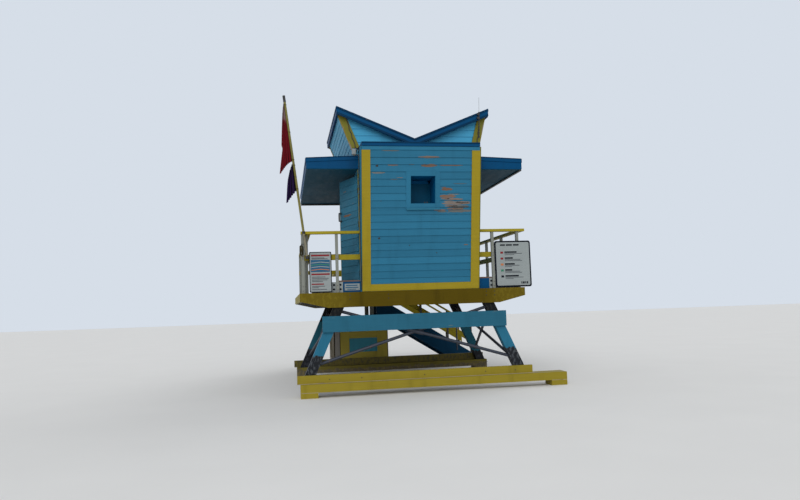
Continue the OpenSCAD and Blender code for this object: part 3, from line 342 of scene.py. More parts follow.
# Bare timber: name, colour, grain and seed
DECK = timber("deck_timber", (132, 122, 104), "x", 18.0)
DECK_Y = timber("deck_timber_y", (126, 116, 100), "y", 18.5)
JOIST = timber("joist_timber", (66, 58, 48), "y", 19.0)
BEARER = timber("bearer_timber", (52, 48, 44), "x", 19.5)
CAPWOOD = timber("cap_timber", (104, 76, 62), "x", 20.0)
PEELED = timber("peeled_wood", (114, 86, 70), "x", 20.5)
PEELED_GREY = timber("peeled_grey", (88, 92, 92), "x", 20.8)
# Dark timber, used also as a painted shadow under the locker
DARKWOOD_AND_SHADE = timber("dark_timber", (44, 38, 34), "x", 32.5)

# Metals: name, colour, rust, roughness, rust's amount, shine and seed; and cloths
PIPE = metal("pipe_grey", (52, 57, 68), (92, 66, 48), 0.5, 0.08, 0.3, 21.0)
BOLT = metal("bolt_steel", (110, 108, 104), (96, 60, 38), 0.45, 0.16, 0.6, 22.0)
BLACK = metal("black_metal", (38, 38, 38), (66, 50, 38), 0.5, 0.1, 0.2, 23.0)
ALLOY = metal("antenna_grey", (150, 152, 154), (110, 104, 96), 0.4, 0.05, 0.5, 23.5)
RED = cloth("red_cloth", (92, 12, 22), 26.0, 0.6, (150, 136, 134))
PURPLE = cloth("purple_cloth", (28, 12, 50), 27.0)

# Shapes. A face is an origin, the directions along it and up it, and the way out of it.
# The back of a board is sunk a little into what it is fixed to.
SUNK = -0.001


def on(face, along, up, out):
    """The point of a face that lies along, up and out from its origin."""
    origin, u, v, n = face
    return origin + u * along + v * up + n * out


def circle(centre, u, v, radius, corners):
    """Points round a circle in the plane of u and v."""
    turns = [2 * math.pi * k / corners for k in range(corners)]
    return [centre + (u * math.cos(a) + v * math.sin(a)) * radius for a in turns]


def placed(name, data):
    """A new object in the scene."""
    ob = bpy.data.objects.new(name, data)
    bpy.context.scene.collection.objects.link(ob)
    return ob


class Shape:
    """Closed solids gathered into one piece."""

    def __init__(self):
        self.v, self.f, self.m, self.t = [], [], [], []

    def add(self, points, faces, mat, tone=0.0):
        """More points, and faces that count from the first of them."""
        first = len(self.v)
        self.v += [tuple(p) for p in points]
        self.f += [tuple(first + i for i in face) for face in faces]
        self.m += [mat] * len(faces)
        self.t += [tone] * len(faces)

    def ring(self, a, b, mat, tone=0.0):
        """A closed solid between two outlines with as many corners."""
        n = len(a)
        faces = [range(n), range(2 * n - 1, n - 1, -1)]
        faces += [(i, n + i, n + (i + 1) % n, (i + 1) % n) for i in range(n)]
        self.add([*a, *b], faces, mat, tone)

    def box(self, lo, hi, mat=0, tone=0.0):
        """A box between two corners given as at() counts."""
        a, b = at(*lo), at(*hi)
        corners = (a.x, a.z), (b.x, a.z), (b.x, b.z), (a.x, b.z)
        self.ring([(x, a.y, z) for x, z in corners], [(x, b.y, z) for x, z in corners], mat, tone)

    def plate(self, points, face, low, high, mat=0, tone=0.0):
        """An outline on a face, from low to high out of it."""
        self.ring([on(face, *p, low) for p in points], [on(face, *p, high) for p in points], mat, tone)

    def tube(self, points, radius, sides, mat=0, closed=False):
        """A round bar along a line of points."""
        points = [Vector(p) for p in points]
        n = len(points)
        side, rings = None, []
        for i, p in enumerate(points):
            way = (points[(i + 1) % n] if closed or i < n - 1 else p) - (points[i - 1] if closed or i else p)
            way.normalize()
            if side is None:
                side = way.orthogonal().normalized()
            side = (side - way * side.dot(way)).normalized()
            rings += circle(p, side, way.cross(side), radius, sides)
        faces = []
        for i in range(n if closed else n - 1):
            a, b = i * sides, (i + 1) % n * sides
            faces += [(a + k, a + (k + 1) % sides, b + (k + 1) % sides, b + k) for k in range(sides)]
        if not closed:
            last = n * sides - 1
            faces += [range(sides), range(last, last - sides, -1)]
        self.add(rings, faces, mat)

    def bolt(self, p, way, r, h, mat=0):
        """A domed bolt head on a washer."""
        way = Vector(way).normalized()
        side = way.orthogonal().normalized()
        for (r0, up0), (r1, up1) in (((r * 1.5, -0.001), (r * 1.5, h * 0.3)), ((r, h * 0.3), (r * 0.75, h))):
            low = circle(p + way * up0, side, way.cross(side), r0, 8)
            self.ring(low, circle(p + way * up1, side, way.cross(side), r1, 8), mat)

    def done(self, name, mats, slot, bevel=0.003, replaces=(), body="tower"):
        """Makes the piece and starts over. The piece rides on a body and may stand in place of CAD nodes."""
        mesh = bpy.data.meshes.new(name)
        mesh.from_pydata(self.v, [], self.f)
        for m in mats:
            mesh.materials.append(m)
        mesh.polygons.foreach_set("material_index", self.m)
        mesh.attributes.new("tone", "FLOAT", "FACE").data.foreach_set("value", self.t)
        bm = bmesh.new()
        bm.from_mesh(mesh)
        bmesh.ops.recalc_face_normals(bm, faces=bm.faces)
        bm.to_mesh(mesh)
        bm.free()
        ob = placed(name, mesh)
        if bevel:
            b = ob.modifiers.new("edges", "BEVEL")
            b.width = bevel
            b.segments = 1
            b.limit_method = "ANGLE"
            b.angle_limit = math.radians(40)
        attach(ob, body)
        if replaces:
            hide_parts(*replaces)
        self.__init__()
        return ob


def rect(u0, u1, v0, v1):
    return [(u0, v0), (u1, v0), (u1, v1), (u0, v1)]


def band(x0, z0, x1, z1, depth):
    """The outline of a strip that hangs under the line from x0, z0 to x1, z1."""
    return [(x0, z0), (x1, z1), (x1, z1 - depth), (x0, z0 - depth)]


def rounded(x0, x1, z0, z1, r, steps=6):
    """A rectangle's outline with round corners."""
    out = []
    corners = (x1 - r, z0 + r, -90), (x1 - r, z1 - r, 0), (x0 + r, z1 - r, 90), (x0 + r, z0 + r, 180)
    for cx, cz, start in corners:
        for k in range(steps + 1):
            a = math.radians(start + 90 * k / steps)
            out.append((cx + r * math.cos(a), cz + r * math.sin(a)))
    return out


def boards(start, stop, width):
    """Where boards laid side by side from start to stop begin and end. The last one is cut to fit."""
    out = []
    while start < stop - 0.01:
        end = min(start + width, stop)
        out.append((start, end))
        start = end
    return out


def clip(poly, axis, keep, sign):
    """The part of an outline where sign * coordinate <= sign * keep."""
    out = []
    for a, b in zip(poly, poly[1:] + poly[:1]):
        da, db = sign * (a[axis] - keep), sign * (b[axis] - keep)
        if da <= 0:
            out.append(a)
        if da * db < 0:
            t = da / (da - db)
            out.append((a[0] + (b[0] - a[0]) * t, a[1] + (b[1] - a[1]) * t))
    return out


def between(poly, axis, low, high):
    return clip(clip(poly, axis, low, -1), axis, high, 1)


def wide(poly):
    """Whether an outline is wide and high enough to be a board."""
    return len(poly) > 2 and all(max(p[i] for p in poly) - min(p[i] for p in poly) > 0.006 for i in (0, 1))


# Shades, warps and ragged flakes come from one row of random draws. A course of siding also has its own tone.
rng = random.Random(4)


def shade():
    return rng.uniform(-1, 1)


# Lapped siding: how far a board stands out at its lower and upper edge, a course's height, the longest board
LAP, TIP, COURSE, LONGEST = 0.016, 0.005, 0.112, 1.9


def siding(shape, polys, face, start, course=COURSE, lap=LAP):
    """Lapped boards over flat outlines. Each stands out at its lower edge, and long courses are butted."""
    for poly in polys:
        k = math.floor((min(p[1] for p in poly) - start) / course)
        top = max(p[1] for p in poly)
        while start + k * course < top:
            v0 = start + k * course
            row = between(poly, 1, v0, v0 + course)
            tone = random.Random(k * 7 + int(start * 1000)).uniform(-1, 1)
            k += 1
            if not wide(row):
                continue
            u0, u1 = min(p[0] for p in row), max(p[0] for p in row)
            cuts = [u0]
            while u1 - cuts[-1] > LONGEST:
                cuts.append(cuts[-1] + rng.uniform(0.5, 0.9) * LONGEST)
            cuts.append(u1)
            for a, b in zip(cuts, cuts[1:]):
                board = between(row, 0, a + (0.001 if a > u0 else 0), b - (0.001 if b < u1 else 0))
                if not wide(board):
                    continue
                warp = rng.uniform(-0.0015, 0.0015)
                outs = [lap + warp + (TIP - lap) * (p[1] - v0) / course for p in board]
                low = [on(face, *p, SUNK) for p in board]
                high = [on(face, *p, out) for p, out in zip(board, outs)]
                shape.ring(low, high, 0, tone * 0.7 + rng.uniform(-0.3, 0.3))


def ragged(cu, cv, length, width, corners=26):
    """The outline of a flake of lost paint, long and ragged."""
    out = []
    for i in range(corners):
        a = 2 * math.pi * i / corners
        r = 1 + rng.uniform(-0.3, 0.3)
        along = math.copysign(abs(math.cos(a)) ** 0.8, math.cos(a)) * length / 2
        out.append((cu + along * (1 + rng.uniform(-0.12, 0.12)), cv + math.sin(a) * width / 2 * r))
    return out


def flakes(shape, places, face, start, lap=LAP):
    """Thin flakes of bare wood on lapped boards: middle, height, length, width, and which material."""
    for cu, cv, length, width, mat in places:
        outline = ragged(cu, cv, length, width)
        first = math.floor((cv - width - start) / COURSE)
        for k in range(first, first + 4):
            v0 = start + k * COURSE
            part = between(outline, 1, v0 + 0.001, v0 + COURSE - 0.001)
            if len(part) > 2:
                low = [on(face, *p, lap + (TIP - lap) * (p[1] - v0) / COURSE + 0.0002) for p in part]
                shape.ring(low, [p + face[3] * 0.002 for p in low], mat, rng.uniform(-0.6, 0.6))


# One shape gathers each piece in turn and starts over when the piece is made
s = Shape()

# The leaning wall's siding, round the window and its casing
lean_n = Vector((0, -math.cos(LEAN), -math.sin(LEAN)))
LEANING = at(CAB_MID, CAB_Y, TOP), X, Vector((0, -math.sin(LEAN), math.cos(LEAN))), lean_n
HALF_CAB = (CAB_R - CAB_L) / 2
WIN_L, WIN_R, WIN_LOW, WIN_HIGH = -0.175, 0.22, 1.39, 1.82
CASE, SILL_H = 0.075, 0.025
BACK_START = 0.095
case_l, case_r, case_low, case_high = WIN_L - CASE, WIN_R + CASE, WIN_LOW - CASE, WIN_HIGH + CASE
sill_low = case_low - SILL_H
inner = HALF_CAB - 0.135
trim_top = SLANT - 0.06
siding(s, [
    rect(-inner, inner, 0.118, sill_low), rect(-inner, case_l, sill_low, case_high),
    rect(case_r, inner, sill_low, case_high), rect(-inner, inner, case_high, trim_top),
    rect(-HALF_CAB + 0.004, HALF_CAB - 0.004, trim_top, SLANT - 0.004),
], LEANING, BACK_START)
s.done("back_siding", [WALL], "blue_paint", 0.0015)

# Peeled places on the leaning wall, bare (0) or grey (1)
flakes(s, [
    (-0.49, 2.213, 0.28, 0.016, 1), (0.12, 2.118, 0.33, 0.03, 0), (-0.46, 1.99, 0.17, 0.022, 0),
    (0.12, 1.986, 0.26, 0.04, 0), (0.48, 1.99, 0.38, 0.018, 0), (-0.69, 1.87, 0.22, 0.022, 1),
    (0.05, 1.996, 0.12, 0.012, 0), (0.41, 1.612, 0.18, 0.04, 0), (0.36, 1.64, 0.08, 0.014, 0),
    (0.42, 1.5, 0.27, 0.052, 0), (0.52, 1.532, 0.2, 0.014, 1), (0.56, 1.388, 0.46, 0.05, 0),
    (0.6, 1.335, 0.36, 0.05, 1), (0.44, 1.42, 0.16, 0.02, 0), (0.3, 1.282, 0.2, 0.02, 0),
    (0.62, 1.27, 0.4, 0.046, 1), (0.33, 1.258, 0.16, 0.02, 1), (0.73, 0.722, 0.075, 0.018, 0),
    (-0.16, 2.0, 0.1, 0.01, 1), (-0.05, 1.3, 0.16, 0.008, 1), (0.62, 1.7, 0.22, 0.01, 1),
    (-0.44, 1.77, 0.12, 0.014, 1), (-0.35, 1.795, 0.1, 0.01, 0), (0.52, 1.455, 0.3, 0.03, 0),
    (0.68, 1.405, 0.24, 0.034, 0), (0.48, 1.348, 0.22, 0.03, 0), (0.55, 1.302, 0.26, 0.024, 0),
    (0.38, 1.464, 0.14, 0.024, 0),
], LEANING, BACK_START)
s.done("peeled_places", [PEELED, PEELED_GREY], "blue_paint", 0)

# Small dark nail and knot marks on the leaning wall: middle, height and radius
for cu, cv, r in (
    (-0.71, 1.974, 0.015), (-0.68, 0.843, 0.012), (-0.65, 1.431, 0.009), (0.25, 0.596, 0.009),
    (-0.195, 0.724, 0.007), (-0.7, 1.985, 0.008), (0.05, 1.402, 0.008), (0.09, 1.405, 0.008),
):
    out = LAP + (TIP - LAP) * (((cv - BACK_START) / COURSE) % 1.0)
    s.bolt(on(LEANING, cu, cv, out - 0.001), lean_n, r, 0.004)
s.done("wall_marks", [BLACK], "blue_paint", 0)

# Side walls, with the cheeks that close the lean and a slanting corner board along each
CORNER, FRONT_CORNER, WALL_START = 0.1, 0.09, -0.01
side_top, wall_high = CANOPY_Z - TOP, CAP_Z0 - TOP
front_edge = CAB_FRONT - FRONT_CORNER
for side, name, x, *_ in SIDES:
    face = at(x, 0, TOP), Y, Z, X * side
    left = side < 0
    edge = CAB_Y + (0.016 if left else CORNER)
    cheek_low = (CAB_Y + CORNER - edge) / math.tan(LEAN)
    cheek = [(edge, cheek_low), (edge, wall_high), (WALL_BACK + CORNER, wall_high)]
    wall = rect(DOOR_Y1 + 0.052 if left else edge, front_edge, 0.0, side_top)
    siding(s, [cheek, wall] if left else [wall, cheek], face, WALL_START)
    s.done(name + "_siding", [WALL_Y], "blue_paint", 0.0015)
    foot, head = 0.002, wall_high - 0.002
    slanting = [(CAB_Y, foot), (CAB_Y + CORNER, foot), (WALL_BACK + CORNER, head), (WALL_BACK, head)]
    s.plate(slanting, face, SUNK, 0.02, 1 if left else 0)
    s.plate(rect(front_edge, CAB_FRONT, foot, side_top), face, SUNK, 0.02, 0)
    if left:
        door_head = DOOR_TOP - TOP + 0.004
        s.plate(rect(CAB_Y + 0.018, DOOR_Y0 - 0.037, foot, side_top), face, SUNK, 0.017, 0)
        s.plate(rect(DOOR_Y1 + 0.004, DOOR_Y1 + 0.05, foot, side_top), face, SUNK, 0.019, 1)
        s.plate(rect(DOOR_Y0 - 0.035, DOOR_Y1 + 0.002, door_head, side_top), face, SUNK, 0.019, 1)
    s.done(name + "_corner_boards", [YELLOW_Z, WALL_Y], "yellow_paint", 0.002)

# The side door: lapped boards outside, plain ones inside, and the handle's feet and grip
hinge = frame["record"]["behaviour"]["joints"][0]
AJAR = math.radians(-hinge["range_deg"][0])
leaf_n = Vector((-math.cos(AJAR), -math.sin(AJAR), 0))
hinge_x, hinge_y = hinge["pos_m"][:2]
leaf_u = Vector((-math.sin(AJAR), math.cos(AJAR), 0))
LEAF = Vector((hinge_x, hinge_y, TOP)) - leaf_n * 0.008, leaf_u, Z, leaf_n
LEAF_W, LEAF_LOW, LEAF_HIGH, LEAF_LAP = DOOR_Y1 - DOOR_Y0 - 0.012, 0.012, DOOR_TOP - TOP - 0.008, 0.012
GRIP_Z, GRIP_IN, GRIP_HALF = 1.29, 0.05, 0.0675
siding(s, [rect(0.044, LEAF_W - 0.002, LEAF_LOW + 0.002, LEAF_HIGH - 0.002)], LEAF, WALL_START, lap=LEAF_LAP)
s.done("door_siding", [WALL_Y], "blue_paint", 0.0015, body="door")
flakes(s, [
    (0.43, 1.29, 0.3, 0.036, 0), (0.5, 1.7, 0.12, 0.014, 0), (0.26, 0.61, 0.14, 0.016, 0),
], LEAF, WALL_START, LEAF_LAP)
s.done("door_peeled_places", [PEELED], "blue_paint", 0, body="door")
for u, end in boards(0.014, LEAF_W - 0.004, 0.115):
    s.plate(rect(u, end - 0.004, LEAF_LOW + 0.006, LEAF_HIGH - 0.006), LEAF, -0.053, -0.044, 0, shade())
s.done("door_lining", [WALL_Y], "blue_paint", 0.001, body="door")
for z in (GRIP_Z - GRIP_HALF, GRIP_Z + GRIP_HALF):
    base, top = on(LEAF, LEAF_W - GRIP_IN, z, 0.012), on(LEAF, LEAF_W - GRIP_IN, z, 0.02)
    s.tube([base, top], 0.019, 16)
    for k in (-1, 1):
        s.bolt(top + Z * (0.0135 * k), leaf_n, 0.003, 0.002)
grip = on(LEAF, LEAF_W - GRIP_IN, GRIP_Z, 0.05)
s.tube([grip - Z * 0.056, grip + Z * 0.056], 0.0115, 14)
s.done("door_handle_fittings", [BLACK], "dark_metal", 0, body="door")

# A dark latch and peeled places on the left wall
s.box((CAB_L - 0.036, 1.06, 3.06), (CAB_L - 0.014, 1.1, 3.3))
s.box((CAB_L - 0.046, 1.05, 3.12), (CAB_L - 0.03, 1.12, 3.16))
for z in (3.08, 3.28):
    s.bolt(at(CAB_L - 0.036, 1.08, z), -X, 0.008, 0.006)
s.done("wall_latch", [BLACK], "dark_metal", 0.002)
left_face = at(CAB_L, 0, TOP), Y, Z, -X
flakes(s, [(1.45, 1.66, 0.4, 0.035, 0), (1.9, 1.3, 0.5, 0.02, 0)], left_face, WALL_START)
s.done("side_peeled_places", [PEELED], "blue_paint", 0)

# The front wall and its lookout window, with casings and corner boards
face = at(0, CAB_FRONT, TOP), X, Z, Y
CASE_IN = CASE - 0.015
LOOK_L, LOOK_R, LOOK_LOW, LOOK_HIGH = CAB_MID - 0.65, CAB_MID + 0.65, 0.95, side_top - 0.065
trim_l, trim_r, trim_low = LOOK_L - CASE_IN, LOOK_R + CASE_IN, LOOK_LOW - CASE_IN
left, right = CAB_L + FRONT_CORNER, CAB_R - FRONT_CORNER
siding(s, [
    rect(left, trim_l, 0, side_top), rect(trim_r, right, 0, side_top), rect(trim_l, trim_r, 0, trim_low),
], face, WALL_START)
s.done("front_siding", [WALL], "blue_paint", 0.0015)
for x0, x1, z0, z1, out in (
    (trim_l, LOOK_L, LOOK_LOW, side_top, 0.022), (LOOK_R, trim_r, LOOK_LOW, side_top, 0.022),
    (LOOK_L, LOOK_R, LOOK_HIGH, side_top, 0.022), (trim_l, trim_r, trim_low, LOOK_LOW, 0.04),
    (CAB_L, left, 0.002, side_top, 0.022), (right, CAB_R, 0.002, side_top, 0.022),
):
    s.plate(rect(x0, x1, z0, z1 - 0.002), face, SUNK, out)
s.done("front_casings", [YELLOW_Z], "yellow_paint", 0.002)


def slope(x0, z0, x1, z1, side):
    """The face of a sloping surface, from one edge's x and height to the other's, and its length."""
    up = Vector((x1 - x0, 0, z1 - z0))
    length = up.length
    up.normalize()
    return (at(x0, 0, z0), Y, up, Vector((-side * up.z, 0, side * up.x))), length


# The flared walls and gables
for side, name, _, foot, eave, _ in SIDES:
    face, length = slope(foot, WALL_TOP, eave, EAVE_Z, -side)
    height = length - 0.01
    siding(s, [rect(CAB_Y + 0.012, GABLE_Y - 0.012, 0.0, height)], face, 0.0, 0.074, 0.01)
    s.done(name + "_flare_siding", [FLARE], "light_blue_paint", 0.0015)
    for y0, y1 in ((CAB_Y - 0.02, CAB_Y + 0.01), (GABLE_Y - 0.01, GABLE_Y + 0.02)):
        s.plate(rect(y0, y1, 0.0, height), face, SUNK, 0.017)
    s.done(name + "_flare_corners", [WORN_YELLOW], "yellow_paint", 0.002)
GABLE_TRIM = 0.132
for y, n, z0, name in ((CAB_Y, -Y, CAP_Z1, "back"), (GABLE_Y, Y, WALL_TOP, "front")):
    halves = []
    for side, _, _, foot, eave, _ in SIDES:
        low = foot + (eave - foot) * (z0 - WALL_TOP) / (EAVE_Z - WALL_TOP) - side * GABLE_TRIM
        tip = eave - side * GABLE_TRIM
        upper = [(x, under_roof(x) - 0.002) for x in (VALLEY_X, tip)]
        halves.append([(low, z0), (VALLEY_X, z0)] + upper)
    siding(s, halves, (at(0, y, 0), X, Z, n), z0 - 0.02)
    s.done(name + "_gable_siding", [GABLE], "light_blue_paint", 0.0015)

# The roof's edge: a drip board along the top of each rake and eave, a lower one on each rake, and the roofing
DRIP_H, LOWER_DRIP = 0.034, 0.09
for y, n in ((RAKE_Y0, -Y), (RAKE_Y1, Y)):
    for x0, x1 in ((RAKE_X0, VALLEY_X), (VALLEY_X, RAKE_X1)):
        for drop, depth, out in ((0.0, DRIP_H, 0.01), (LOWER_DRIP, RAKE_H - LOWER_DRIP, 0.006)):
            outline = band(x0, over_roof(x0) - drop, x1, over_roof(x1) - drop, depth)
            s.plate(outline, (at(0, y, 0), X, Z, n), SUNK, out, 1)
for x, n in ((RAKE_X0, -X), (RAKE_X1, X)):
    z = over_roof(x) - 0.012
    s.plate(band(RAKE_Y0, z, RAKE_Y1, z, DRIP_H), (at(x, 0, 0), Y, Z, n), SUNK, 0.008, 1)
s.done("roof_drip_boards", [DEEP, DARK], "deep_blue_paint", 0.002)
for side, edge in ((-1, RAKE_X0), (1, RAKE_X1)):
    face, length = slope(VALLEY_X, over_roof(VALLEY_X), edge, over_roof(edge), side)
    length -= 0.03
    for k, (y, end) in enumerate(boards(RAKE_Y0 + 0.03, RAKE_Y1 - 0.028, 0.3)):
        s.plate(rect(y, end - 0.002, 0.004, length), face, SUNK, 0.006 + 0.002 * (k % 2), 0, shade())
s.done("roofing", [ROOF], "deep_blue_paint", 0.001)

# Canopy fascias: an upper band that stands proud, a dark strip over it, and roofing above
BAND = 0.068
for side, _, wall, foot, _, outer in SIDES:
    for y, n in ((CAB_Y, -Y), (CAB_FRONT, Y)):
        face = at(0, y, 0), X, Z, n
        s.plate(band(wall, WALL_TOP, foot, WALL_TOP, BAND), face, SUNK, 0.012)
        s.plate(band(foot, WALL_TOP, outer, CANOPY_EDGE_Z, BAND), face, SUNK, 0.012)
        s.plate(band(foot, WALL_TOP - 0.001, outer, CANOPY_EDGE_Z - 0.001, 0.013), face, 0.01, 0.018, 1)
    face = at(outer, 0, 0), Y, Z, X * side
    s.plate(band(CAB_Y, CANOPY_EDGE_Z, CAB_FRONT, CANOPY_EDGE_Z, BAND), face, SUNK, 0.01)
s.done("canopy_bands", [DEEP, DARK], "deep_blue_paint", 0.002)
SHEET_W = 0.45
first, last = CAB_Y + 0.004, CAB_FRONT - 0.004
for side, _, _, foot, _, outer in SIDES:
    face, length = slope(foot, WALL_TOP, outer, CANOPY_EDGE_Z, side)
    for y, end in boards(first, last, SHEET_W):
        s.plate(rect(y, end - 0.003, 0.02 if y < GABLE_Y else 0.0, length), face, SUNK, 0.005, 0, shade())
face = at(0, 0, WALL_TOP), X, Y, Z
for y, end in boards(GABLE_Y + 0.03, last, SHEET_W):
    s.plate(rect(CAB_L - 0.05, CAB_R + 0.05, y, end - 0.003), face, SUNK, 0.005, 0, shade())
s.done("canopy_roofing", [ROOF], "deep_blue_paint", 0.001)

# Soffit panels under the canopies, with a dark board across the seaward end and along the right edge
for x0, x1 in ((CANOPY_L + 0.004, CAB_L), (CAB_R, CANOPY_R - 0.004)):
    for y, end in boards(first, last, 1.22):
        s.box((x0, y + 0.001, CANOPY_Z - 0.009), (x1, end - 0.001, CANOPY_Z), 0, shade())
    s.box((x0, last - 0.04, CANOPY_Z - 0.04), (x1, last, CANOPY_Z - 0.008), 1)
s.box((CANOPY_R - 0.044, first, CANOPY_Z - 0.03), (CANOPY_R - 0.004, last - 0.04, CANOPY_Z - 0.008), 1)
s.done("soffit_boards", [SOFFIT, BLACK], "dark_timber", 0.002, ["canopy_soffits"])

# A drip board along the cap of the leaning wall
s.box((CAB_L, WALL_BACK - 0.028, CAP_Z1 - 0.02), (CAB_R, WALL_BACK - 0.019, CAP_Z1))
s.done("cap_drip", [DARK], "deep_blue_paint", 0.002)

# The window: casing and sill on the leaning wall, the boards of its tunnel, and the hatch with its frame
for outline in (
    rect(case_l, WIN_L, case_low, case_high), rect(WIN_R, case_r, case_low, case_high),
    rect(WIN_L, WIN_R, WIN_HIGH + 0.002, case_high), rect(WIN_L, WIN_R, case_low, WIN_LOW - 0.002),
):
    s.plate(outline, LEANING, 0.0003, 0.017, 0, rng.uniform(-0.6, 0.6))
# The sill is paler: wear and a painted highlight
s.plate(rect(case_l, case_r, sill_low, case_low), LEANING, 0.0003, 0.04, 1)
s.done("window_casing", [WALL, SILL_WEAR_AND_HIGHLIGHT], "blue_paint", 0.001, ["window_frame"])
LINING = 0.02
frame_in = span("window_frame")[3]
x0, x1 = CAB_MID + WIN_L, CAB_MID + WIN_R
z0, z1 = (TOP + v * math.cos(LEAN) for v in (WIN_LOW, WIN_HIGH))
for left, right, low, high in (
    (x0 - LINING, x1 + LINING, z0 - LINING, z0), (x0 - LINING, x1 + LINING, z1, z1 + LINING),
    (x0 - LINING, x0, z0, z1), (x1, x1 + LINING, z0, z1),
):
    outline = [(lean_y(low) - 0.002, low), (frame_in, low), (frame_in, high), (lean_y(high) - 0.002, high)]
    s.plate(outline, (at(left, 0, 0), Y, Z, X), 0, right - left)
s.done("window_lining", [REVEAL], "deep_blue_paint", 0.001)
hatch_x0, hatch_x1, hatch_y0, hatch_y1, hatch_z0, hatch_z1 = span("window_hatch")
s.box((hatch_x0, hatch_y0, hatch_z0), (hatch_x1, hatch_y1, hatch_z1))
# The hatch's frame: the top board is in the lighter reveal blue, a painted highlight along the top of the
# hatch
for left, right, low, high, mat in (
    (x0, x1, z1 - 0.05, z1, 1), (x0, x1, z0, z0 + 0.03, 0),
    (x0, x0 + 0.035, z0, z1, 0), (x1 - 0.035, x1, z0, z1, 0),
):
    s.box((left, hatch_y0 - 0.01, low), (right, hatch_y0 + 0.001, high), mat)
s.done("hatch_boards", [HATCH, REVEAL], "navy_paint", 0.002, ["window_hatch"])

# Deck boards, with gaps between them
BOARD_W, BOARD_T, BEAM_T = 0.14, 0.038, 0.051
for y, end in boards(0.052, DECK_D - 0.052, BOARD_W):
    s.box((-HALF_W + BEAM_T, y, TOP - BOARD_T), (HALF_W - BEAM_T, end - 0.005, TOP), 0, shade())
s.done("deck_planks", [DECK], "bare_timber", 0.003, ["deck_boards"])

# Railings: flat top rails, deeper middle rails, and square posts with bolts
POST_W, RAIL_D, CAP_W, CAP_T, MID_H = 0.045, 0.038, 0.089, 0.042, 0.084
OUT_Y = span("back_railings")[2] + 0.022
IN_Y = OUT_Y + POST_W + RAIL_D


def railing(s, origin, u, inward, start, end, posts, over=0.022, join=0.0):
    """A railing along u from the origin, which lies on the posts' outer faces at the ground.
    Its top rail hangs over outward by over and runs past both ends by join."""
    face = origin, u, Z, inward
    s.plate(rect(start - join, end + join, RAIL_TOP - CAP_T, RAIL_TOP), face, -over, CAP_W - over, 0, shade())
    s.plate(rect(start, end, MID_TOP - MID_H, MID_TOP), face, POST_W, POST_W + RAIL_D, 0, shade())
    for p in posts:
        s.plate(rect(p - POST_W / 2, p + POST_W / 2, TOP, RAIL_TOP - CAP_T), face, 0, POST_W, 1, shade())
        for z in (MID_TOP - 0.062, MID_TOP - 0.022, TOP + 0.04, TOP + 0.11):
            s.bolt(on(face, p, z, 0), -inward, 0.007, 0.006, 2)


railing(s, at(0, OUT_Y, 0), X, Y, -HALF_W + 0.033, CAB_L, [-HALF_W + 0.06, -HALF_W + 0.594])
railing(s, at(0, OUT_Y, 0), X, Y, CAB_R, HALF_W + 0.05, [HALF_W - 0.5, HALF_W - 0.073])
s.box((-HALF_W + 0.308, OUT_Y, TOP), (-HALF_W + 0.353, OUT_Y + POST_W, MID_TOP), 1)
s.done("back_rails_and_posts", [YELLOW, POST, BOLT], "yellow_paint", 0.003, ["back_railings"])
JOIN = 0.016
FRONT_Y = DECK_D - 0.026
front_in = FRONT_Y - POST_W - RAIL_D
pitch = (front_in - IN_Y) / 5
stations = [IN_Y + i * pitch for i in range(1, 5)]
railing(s, at(-HALF_W + 0.1, 0, 0), Y, X, IN_Y, front_in, [IN_Y + POST_W] + stations, 0.0, JOIN)
railing(s, at(HALF_W, 0, 0), Y, -X, IN_Y, front_in, stations, 0.044, JOIN)
s.done("side_rails_and_posts", [YELLOW_Y, POST, BOLT], "yellow_paint", 0.003, ["side_railings"])
origin = at(0, FRONT_Y, 0)
railing(s, origin, X, -Y, -HALF_W + 0.1, -0.72, [-HALF_W + 0.1225, -1.215, -0.745])
railing(s, origin, X, -Y, 0.0, HALF_W + 0.044, [0.0225, HALF_W / 2, HALF_W - 0.0225])
s.done("front_rails_and_posts", [YELLOW, POST, BOLT], "yellow_paint", 0.003, ["front_railing"])
land_l, land_out = span("landing")[0] + 0.004, DECK_D + RAMP_W - 0.026
railing(s, at(0, land_out, 0), X, -Y, land_l, -0.004, [land_l + 0.0445, -0.03])
railing(s, at(land_l + 0.022, 0, 0), Y, X, DECK_D + 0.02, land_out - POST_W - RAIL_D, [], 0.022, JOIN)
s.done("landing_rails_and_posts", [YELLOW, POST, BOLT], "yellow_paint", 0.003, ["landing_railings"])

# Kick boards behind the posts: blue beside the cabin, pale with round marks further out, under a timber cap.
# The blue one on the left bears a white plate with plain bars.
KICK_Y = OUT_Y + POST_W
KICK_CAP = TOP + 0.167
KICK_X0, KICK_X1 = CAB_L - 0.005, CAB_R + 0.005
for x0, x1, mat in ((-1.64, -1.149, 2), (-1.147, KICK_X0, 1), (KICK_X1, 1.258, 1), (1.26, 1.74, 2)):
    s.box((x0, KICK_Y, TOP + 0.002), (x1, KICK_Y + 0.018, KICK_CAP), mat)
for x0, x1 in ((-1.225, KICK_X0), (KICK_X1, 1.74)):
    s.box((x0, KICK_Y, KICK_CAP + 0.001), (x1, KICK_Y + 0.03, TOP + 0.19), 3)
s.box((-1.122, KICK_Y - 0.003, TOP + 0.03), (CAB_L - 0.03, KICK_Y + 0.001, TOP + 0.136), 2)
for x0, x1, z0, z1 in (
    (-1.1, -0.92, 0.1, 0.118), (-1.112, -0.905, 0.068, 0.084), (-1.08, -0.94, 0.042, 0.054),
):
    s.box((x0, KICK_Y - 0.005, TOP + z0), (x1, KICK_Y - 0.002, TOP + z1))
for x in (-1.289, -1.187, 1.292):
    for z in (0.052, 0.122):
        ring = circle(at(x, KICK_Y, TOP + z), X, Z, 0.017, 16)
        s.ring([p + Y * 0.001 for p in ring], [p - Y * 0.0025 for p in ring], 4)
